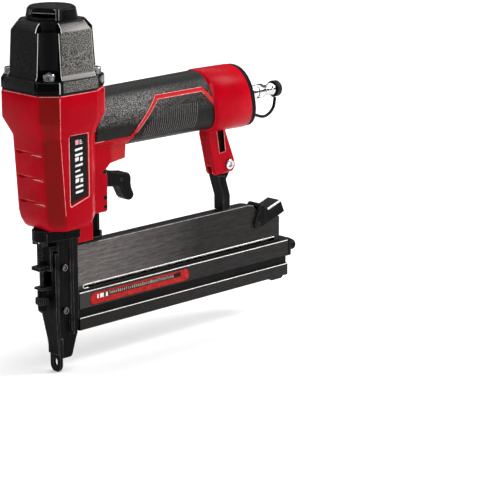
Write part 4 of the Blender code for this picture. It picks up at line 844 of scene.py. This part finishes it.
def spring(name, node, axis, turns, wire, body, look="spring_steel"):
    """A round-wire compression spring with closed ends."""
    flat = 0.75
    low, high = box_mm(node)
    index = "xyz".index(axis)
    across = [i for i in range(3) if i != index]
    middle = (low + high) / 2
    radius = min(high[i] - low[i] for i in across) / 2 - wire
    length = high[index] - low[index] - 2 * wire
    steps = int(turns * 16)
    path = []
    for i in range(steps + 1):
        turn = 2 * math.pi * i / 16
        share = i / steps
        ends = flat / turns
        along = min(max((share - ends) / (1 - 2 * ends), 0.0), 1.0)
        point = middle.copy()
        point[across[0]] = middle[across[0]] + radius * math.cos(turn)
        point[across[1]] = middle[across[1]] + radius * math.sin(turn)
        point[index] = low[index] + wire + length * (0.04 * share + 0.96 * along)
        path.append(point * MM)
    shape = bmesh.new()
    sweep(shape, path, wire * MM, 7)
    piece = finish_piece(name, shape, look, body, [node], angle=60)
    direction = Vector((0, 0, 0))
    direction[index] = 1
    anchor = middle.copy()
    anchor[index] = high[index]
    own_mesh(piece)


def springs():
    """The four springs."""
    spring("linkage_spring", "safety_spring", "z", 8, 0.26, "frame", "blackened_steel")
    spring("stem_spring", "valve_spring", "z", 6, 0.3, "frame")
    spring("valve_return_spring", "head_valve_spring", "z", 4.5, 0.85, "frame")
    spring("strip_spring", "feed_spring", "x", 30, 0.24, "slide", "blackened_steel")


def grip_ribs():
    """Fine upright ribs moulded into both sides of the lower grip."""
    tree = tree_of("grip_lower")
    high = box_mm("grip_lower")[1]
    shape = bmesh.new()
    count = 25
    pitch = 2.0
    first = 70.0
    bottom = 152.4
    for side in (-1, 1):
        for i in range(count):
            x = first + pitch * i
            top = min(171.0, 159.0 + (x - first) * 1.05, high.z)
            path = []
            for k in range(9):
                z = bottom + (top - bottom) * k / 8
                point, normal = side_hit(tree, side, x, z)
                if point:
                    path.append(point - normal * 0.00008)
            if len(path) == 9:
                sweep(shape, path, 0.42 * MM, 6)
    finish_piece("grip_ribs", shape, "ribs", "frame", angle=60)


def housing_dots():
    """Rows of small raised dots on both sides of the valve block."""
    tree = tree_of("body_housing")
    shape = bmesh.new()
    pitch = 1.9
    dot = [(0.55, -0.2), (0.5, 0.05), (0.32, 0.2), (0.1, 0.27)]
    for side in (-1, 1):
        for row in range(7):
            for column in range(6):
                x = 44.6 + pitch * column
                z = 141.6 + pitch * row
                point = side_hit(tree, side, x, z)[0]
                if point and abs(point.y) >= 0.0085:
                    aim = "+y" if side > 0 else "-y"
                    lathe(dot, aim, point, 8, shape)
    finish_piece("housing_dots", shape, "red_enamel", "frame", angle=60)


def flat_patch(shape, outline, y, thickness, side):
    """A thin plate on a face that looks along Y. Its outline lists X and Z in millimetres."""
    near = [shape.verts.new(mm(x, y + side * thickness, z)) for x, z in outline]
    far = [shape.verts.new(mm(x, y, z)) for x, z in outline]
    shape.faces.new(near)
    shape.faces.new(far[::-1])
    for i in range(len(outline)):
        j = (i + 1) % len(outline)
        shape.faces.new((near[i], near[j], far[j], far[i]))


def groove_glints():
    """Painted highlights on the lower lips of the hollows on the housing's front, and on the creases beside
    them.
    """
    tree = tree_of("body_housing")
    shape = bmesh.new()
    thinnest = 0.06
    # Each run's start and end along Y, its thickest radius, and its height above the groove
    runs = ((-14.0, -3.2, 0.72, -0.5), (-2.6, 13.2, 0.16, 1.1))
    for z in GROOVES:
        for start, end, thickest, rise in runs:
            path = []
            sizes = []
            for k in range(17):
                share = k / 16
                hit = tree.ray_cast(mm(-40.0, start + (end - start) * share, z + rise), Vector((1, 0, 0)))
                if hit[0]:
                    path.append(hit[0])
                    sizes.append((thinnest + (thickest - thinnest) * math.sin(math.pi * share)) * MM)
            sweep(shape, path, sizes)
    finish_piece("groove_glints", shape, "enamel_highlight", "frame", angle=60)


def slanted_bar(x, z, width, height, slant=0.0):
    """A bar's outline, whose right side is raised by the slant."""
    return [(x, z), (x + width, z + slant), (x + width, z + height + slant), (x, z + height)]


# The height and width of each bar up the side labels, from the lowest
LABEL_BARS = (
    (1.5, 6.4),
    (1.5, 6.4),
    (2.6, 3.0),
    (1.5, 6.4),
    (1.2, 4.2),
    (1.5, 6.4),
    (2.6, 3.0),
    (1.5, 6.4),
    (1.5, 6.4),
)


# The side that each side label is on, its CAD node, and how its pieces' names end
SIDE_LABELS = ((-1, "side_label_left", "left"), (1, "side_label_right", "right"))


def side_label_print():
    """Generic white bars up each side label, with a small pink tab above them."""
    for side, node, tag in SIDE_LABELS:
        low, high = box_mm(node)
        face = low.y if side < 0 else high.y
        white = bmesh.new()
        pink = bmesh.new()
        x = low.x + 3.6
        for i, (height, width) in enumerate(LABEL_BARS):
            z = low.z + 6.0 + 3.55 * i
            flat_patch(white, slanted_bar(x, z, width, height, 0.7), face, 0.06, side)
            if width < 4:
                flat_patch(white, slanted_bar(x + 4.2, z, 2.2, height, 0.2), face, 0.06, side)
        for i in range(3):
            z = low.z + 38.6 + 1.1 * i
            flat_patch(white, slanted_bar(x + 4.0, z, 2.4 - 0.4 * i, 0.6, 0.2), face, 0.06, side)
        flat_patch(pink, slanted_bar(x + 0.4, low.z + 38.4, 2.9, 3.2, 0.3), face, 0.06, side)
        finish_piece(f"side_label_bars_{tag}", white, "white_print", "frame")
        finish_piece(f"side_label_tab_{tag}", pink, "pink_print", "frame")


def label_frames():
    """The raised rim around each side label's recess, in pale enamel as a painted highlight."""
    for side, node, tag in SIDE_LABELS:
        low, high = box_mm(node)
        y = side * 23.35
        outline = [
            (low.x - 1.5, high.z + 1.1),
            (high.x + 1.5, high.z + 1.1),
            (high.x + 1.5, low.z + 2.6),
            (low.x - 0.4, low.z - 2.2),
            (low.x - 1.5, low.z - 1.2),
        ]
        path = []
        for i, point in enumerate(outline):
            after = outline[(i + 1) % len(outline)]
            for share in (0.04, 0.35, 0.65, 0.96):
                x = point[0] + (after[0] - point[0]) * share
                z = point[1] + (after[1] - point[1]) * share
                path.append(mm(x, y, z))
        shape = bmesh.new()
        sweep(shape, path, 0.40 * MM, closed=True)
        finish_piece(f"label_rim_highlight_{tag}", shape, "enamel_highlight", "frame", angle=60)


def slide_label_print():
    """A generic scale on the slide's label: a dark band, pale ticks and two small marks."""
    low, high = box_mm("slide_label")
    face = low.y
    dark = bmesh.new()
    pale = bmesh.new()
    white = bmesh.new()
    left, right = low.x + 12.0, high.x - 8.0
    bottom, top = high.z - 4.2, high.z - 1.2
    band = [(left, bottom), (right, bottom), (right, top), (left, top)]
    flat_patch(dark, band, face, 0.05, -1)
    for i in range(32):
        x = low.x + 17.0 + 1.9 * i
        flat_patch(pale, slanted_bar(x, high.z - 3.6, 1.0, 1.9 if i % 4 else 2.3, 0.1), face - 0.05, 0.05, -1)
    for i, width in enumerate((1.4, 2.4, 0.8, 1.8)):
        flat_patch(white, slanted_bar(low.x + 6.0 + 2.6 * i, high.z - 4.4, width, 2.9), face - 0.05, 0.06, -1)
    finish_piece("slide_label_band", dark, "black_inlay", "slide")
    finish_piece("slide_label_ticks", pale, "grey_print", "slide")
    finish_piece("slide_label_marks", white, "white_print", "slide")


def slot_highlights():
    """A painted highlight along the lip of the track's guide slots, rolled around each slot's front end."""
    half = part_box("magazine_track")[1].y / MM
    shape = bmesh.new()
    front, middle, bend = 21.9, 55.7, 1.3
    for side in (-1, 1):
        y = side * (half - 0.1)
        turns = [math.radians(90 + 22.5 * k) for k in range(9)]
        nose = [mm(front + bend * math.cos(t), y, middle + bend * math.sin(t)) for t in turns]
        upper = [mm(205.5 - 9.0 * k, y, middle + bend) for k in range(20)]
        sweep(shape, [*upper, *nose, mm(25.5, y, middle - bend)], 0.42 * MM)
    finish_piece("slot_highlights", shape, "bright_edge_highlight", "frame", angle=60)


def bright_edges():
    """Painted highlight lines along the edges of the magazine and the latch, on the cap's moulded ridges and
    on the outlet's rim.
    """
    track_high = box_mm("magazine_track")[1]
    slide_high = box_mm("magazine_slide")[1]

    def top_edge(middle, along):
        return middle.z > track_high.z - 1.4 and abs(along.x) > 0.9 and abs(middle.y) > track_high.y - 0.2

    def slide_edge(middle, along):
        upper = middle.z > slide_high.z - 0.9 and abs(middle.y) > slide_high.y - 0.3
        lower = 34.8 < middle.z < 35.7 and abs(middle.y) > slide_high.y - 0.3
        return abs(along.x) > 0.9 and (upper or lower)

    painted_highlight = ("dim_edge_highlight", "frame", "black_anodised")
    strip_along_edges("track_edge_highlights", "magazine_track", top_edge, 0.30 * MM, *painted_highlight)
    sliding = ("bright_edge_highlight", "slide", "black_anodised")
    strip_along_edges("slide_edge_highlights", "magazine_slide", slide_edge, 0.30 * MM, *sliding)

    def latch_edge(middle, along):
        rising = 197.0 < middle.x < 211.0 and middle.z > 78.5 and abs(along.y) < 0.2
        return rising and abs(middle.y) > 6.2 and 0.15 < abs(along.z) < 0.6

    folded = ("bright_edge_highlight", "latch", "blackened_steel")
    strip_along_edges("latch_edge_highlight", "latch_lever", latch_edge, 0.4 * MM, *folded, least_angle=15)

    def channel_edge(middle, along):
        if middle.z < 203.3:
            return False
        level = NOTCH_LOW / MM
        if middle.z > level - 0.3 and abs(along.z) < 0.3:
            return False
        radius, reach = (value / MM for value in (CHANNEL if middle.z < level else NOTCH))
        offset = (abs(middle.x - CYLINDER.x / MM) - reach, abs(middle.y) - reach)
        return abs(math.hypot(*offset) - radius) < 0.25

    ridge = ("bright_edge_highlight", "frame", "black_plastic")
    soft = {"least_angle": 18, "sink": 0.6}
    strip_along_edges("cap_ridge_highlights", "cylinder_cap", channel_edge, 0.26 * MM, *ridge, **soft)

    def outlet_edge(middle, along):
        turn = math.radians(OUTLET_TURN)
        ahead = (middle.x - CYLINDER.x / MM) * math.cos(turn) + middle.y * math.sin(turn)
        return ahead > 12.6 and 244.0 < middle.z < 247.0

    rim = ("dim_edge_highlight", "deflector", "black_plastic")
    soft = {"least_angle": 18, "sink": 0.8}
    strip_along_edges("deflector_rim_highlight", "exhaust_deflector", outlet_edge, 0.30 * MM, *rim, **soft)


def housing_edges():
    """Painted highlight lines in pale enamel on the housing's corners, around its openings and under the cap.
    """

    def highlight_edges(middle, along):
        corner = middle.y < -22.8 and -16.5 < middle.x < -8.0 and abs(along.z) > 0.85 and middle.z < 193.0
        seam = middle.z > 193.2 and abs(along.z) < 0.1
        label = abs(middle.y) > 23.0 and -6.0 < middle.x < 12.5 and 117.0 < middle.z < 168.0
        recess = abs(middle.y) > 4.0 and 146.0 < middle.x < 157.0 and 127.0 < middle.z < 144.6
        grip = 25.0 < middle.x < 33.0 and 154.0 < middle.z < 188.0 and abs(middle.y) > 12.0
        trim = abs(middle.y) > 13.2 and 62.0 < middle.x < 124.5 and 152.0 < middle.z < 186.0
        return corner or seam or label or recess or grip or trim

    thin = ("enamel_highlight", "frame", "red_enamel")
    strip_along_edges("housing_edge_highlights", "body_housing", highlight_edges, 0.26 * MM, *thin, least_angle=14)


# ---------------------------------------------------------------- stage


def area_light(name, place, target, size, energy, tall=None):
    data = bpy.data.lights.new(name, "AREA")
    data.shape = "RECTANGLE"
    data.size = size
    data.size_y = tall or size
    data.energy = energy
    light = bpy.data.objects.new(name, data)
    light.location = place
    light.rotation_mode = "QUATERNION"
    light.rotation_quaternion = (Vector(target) - Vector(place)).to_track_quat("-Z", "Y")
    bpy.context.scene.collection.objects.link(light)


def stage():
    """A white floor and a dim white world, with three soft boxes and one wide light overhead."""
    scene = bpy.context.scene
    scene.view_settings.view_transform = "Standard"
    world = bpy.data.worlds.new("studio")
    world.use_nodes = True
    world.node_tree.nodes["Background"].inputs["Color"].default_value = (1.0, 1.0, 1.0, 1.0)
    world.node_tree.nodes["Background"].inputs["Strength"].default_value = 0.10
    scene.world = world
    middle = (0.10, 0.0, 0.13)
    area_light("left_softbox", (-1.5, 0.35, 0.75), middle, 0.6, 4.0, 1.0)
    area_light("right_softbox", (1.25, -0.72, 1.05), middle, 0.6, 22.0, 0.6)
    area_light("side_softbox", (0.2, -1.6, 0.5), middle, 0.7, 3.5, 0.9)
    area_light("overhead", (0.75, 0.75, 2.4), (0.75, 0.75, 0.0), 4.6, 150)
    floor = bmesh.new()
    corners = [(-6, -6, 0), (6, -6, 0), (6, 6, 0), (-6, 6, 0)]
    floor.faces.new([floor.verts.new(corner) for corner in corners])
    mesh = bpy.data.meshes.new("floor")
    floor.to_mesh(mesh)
    floor.free()
    obj = bpy.data.objects.new("floor", mesh)
    scene.collection.objects.link(obj)
    look = Look("floor_look", 0.9)
    look.colour(look.mix(look.noise(3.0, 2.0), (0.86, 0.86, 0.86), (0.90, 0.90, 0.90)))
    mesh.materials.append(look.material)


def camera():
    """The photograph's view: 45.2 degrees round from +Y, and 14.8 degrees down."""
    data = bpy.data.cameras.new("camera")
    data.lens = 154.4
    data.clip_start = 0.05
    data.clip_end = 60.0
    obj = bpy.data.objects.new("camera", data)
    turn = math.radians(45.2)
    drop = math.radians(14.8)
    forward = Vector((math.sin(turn) * math.cos(drop), math.cos(turn) * math.cos(drop), -math.sin(drop)))
    obj.location = (-0.8888, -1.0646, 0.4493)
    obj.rotation_mode = "QUATERNION"
    obj.rotation_quaternion = forward.to_track_quat("-Z", "Y")
    bpy.context.scene.collection.objects.link(obj)
    bpy.context.scene.camera = obj


dress_cad()
hardware()
air_fitting()
dust_cover()
dust_strap()
adjuster()
springs()
grip_ribs()
housing_dots()
label_frames()
side_label_print()
slide_label_print()
slot_highlights()
bright_edges()
housing_edges()
groove_glints()
stage()
camera()
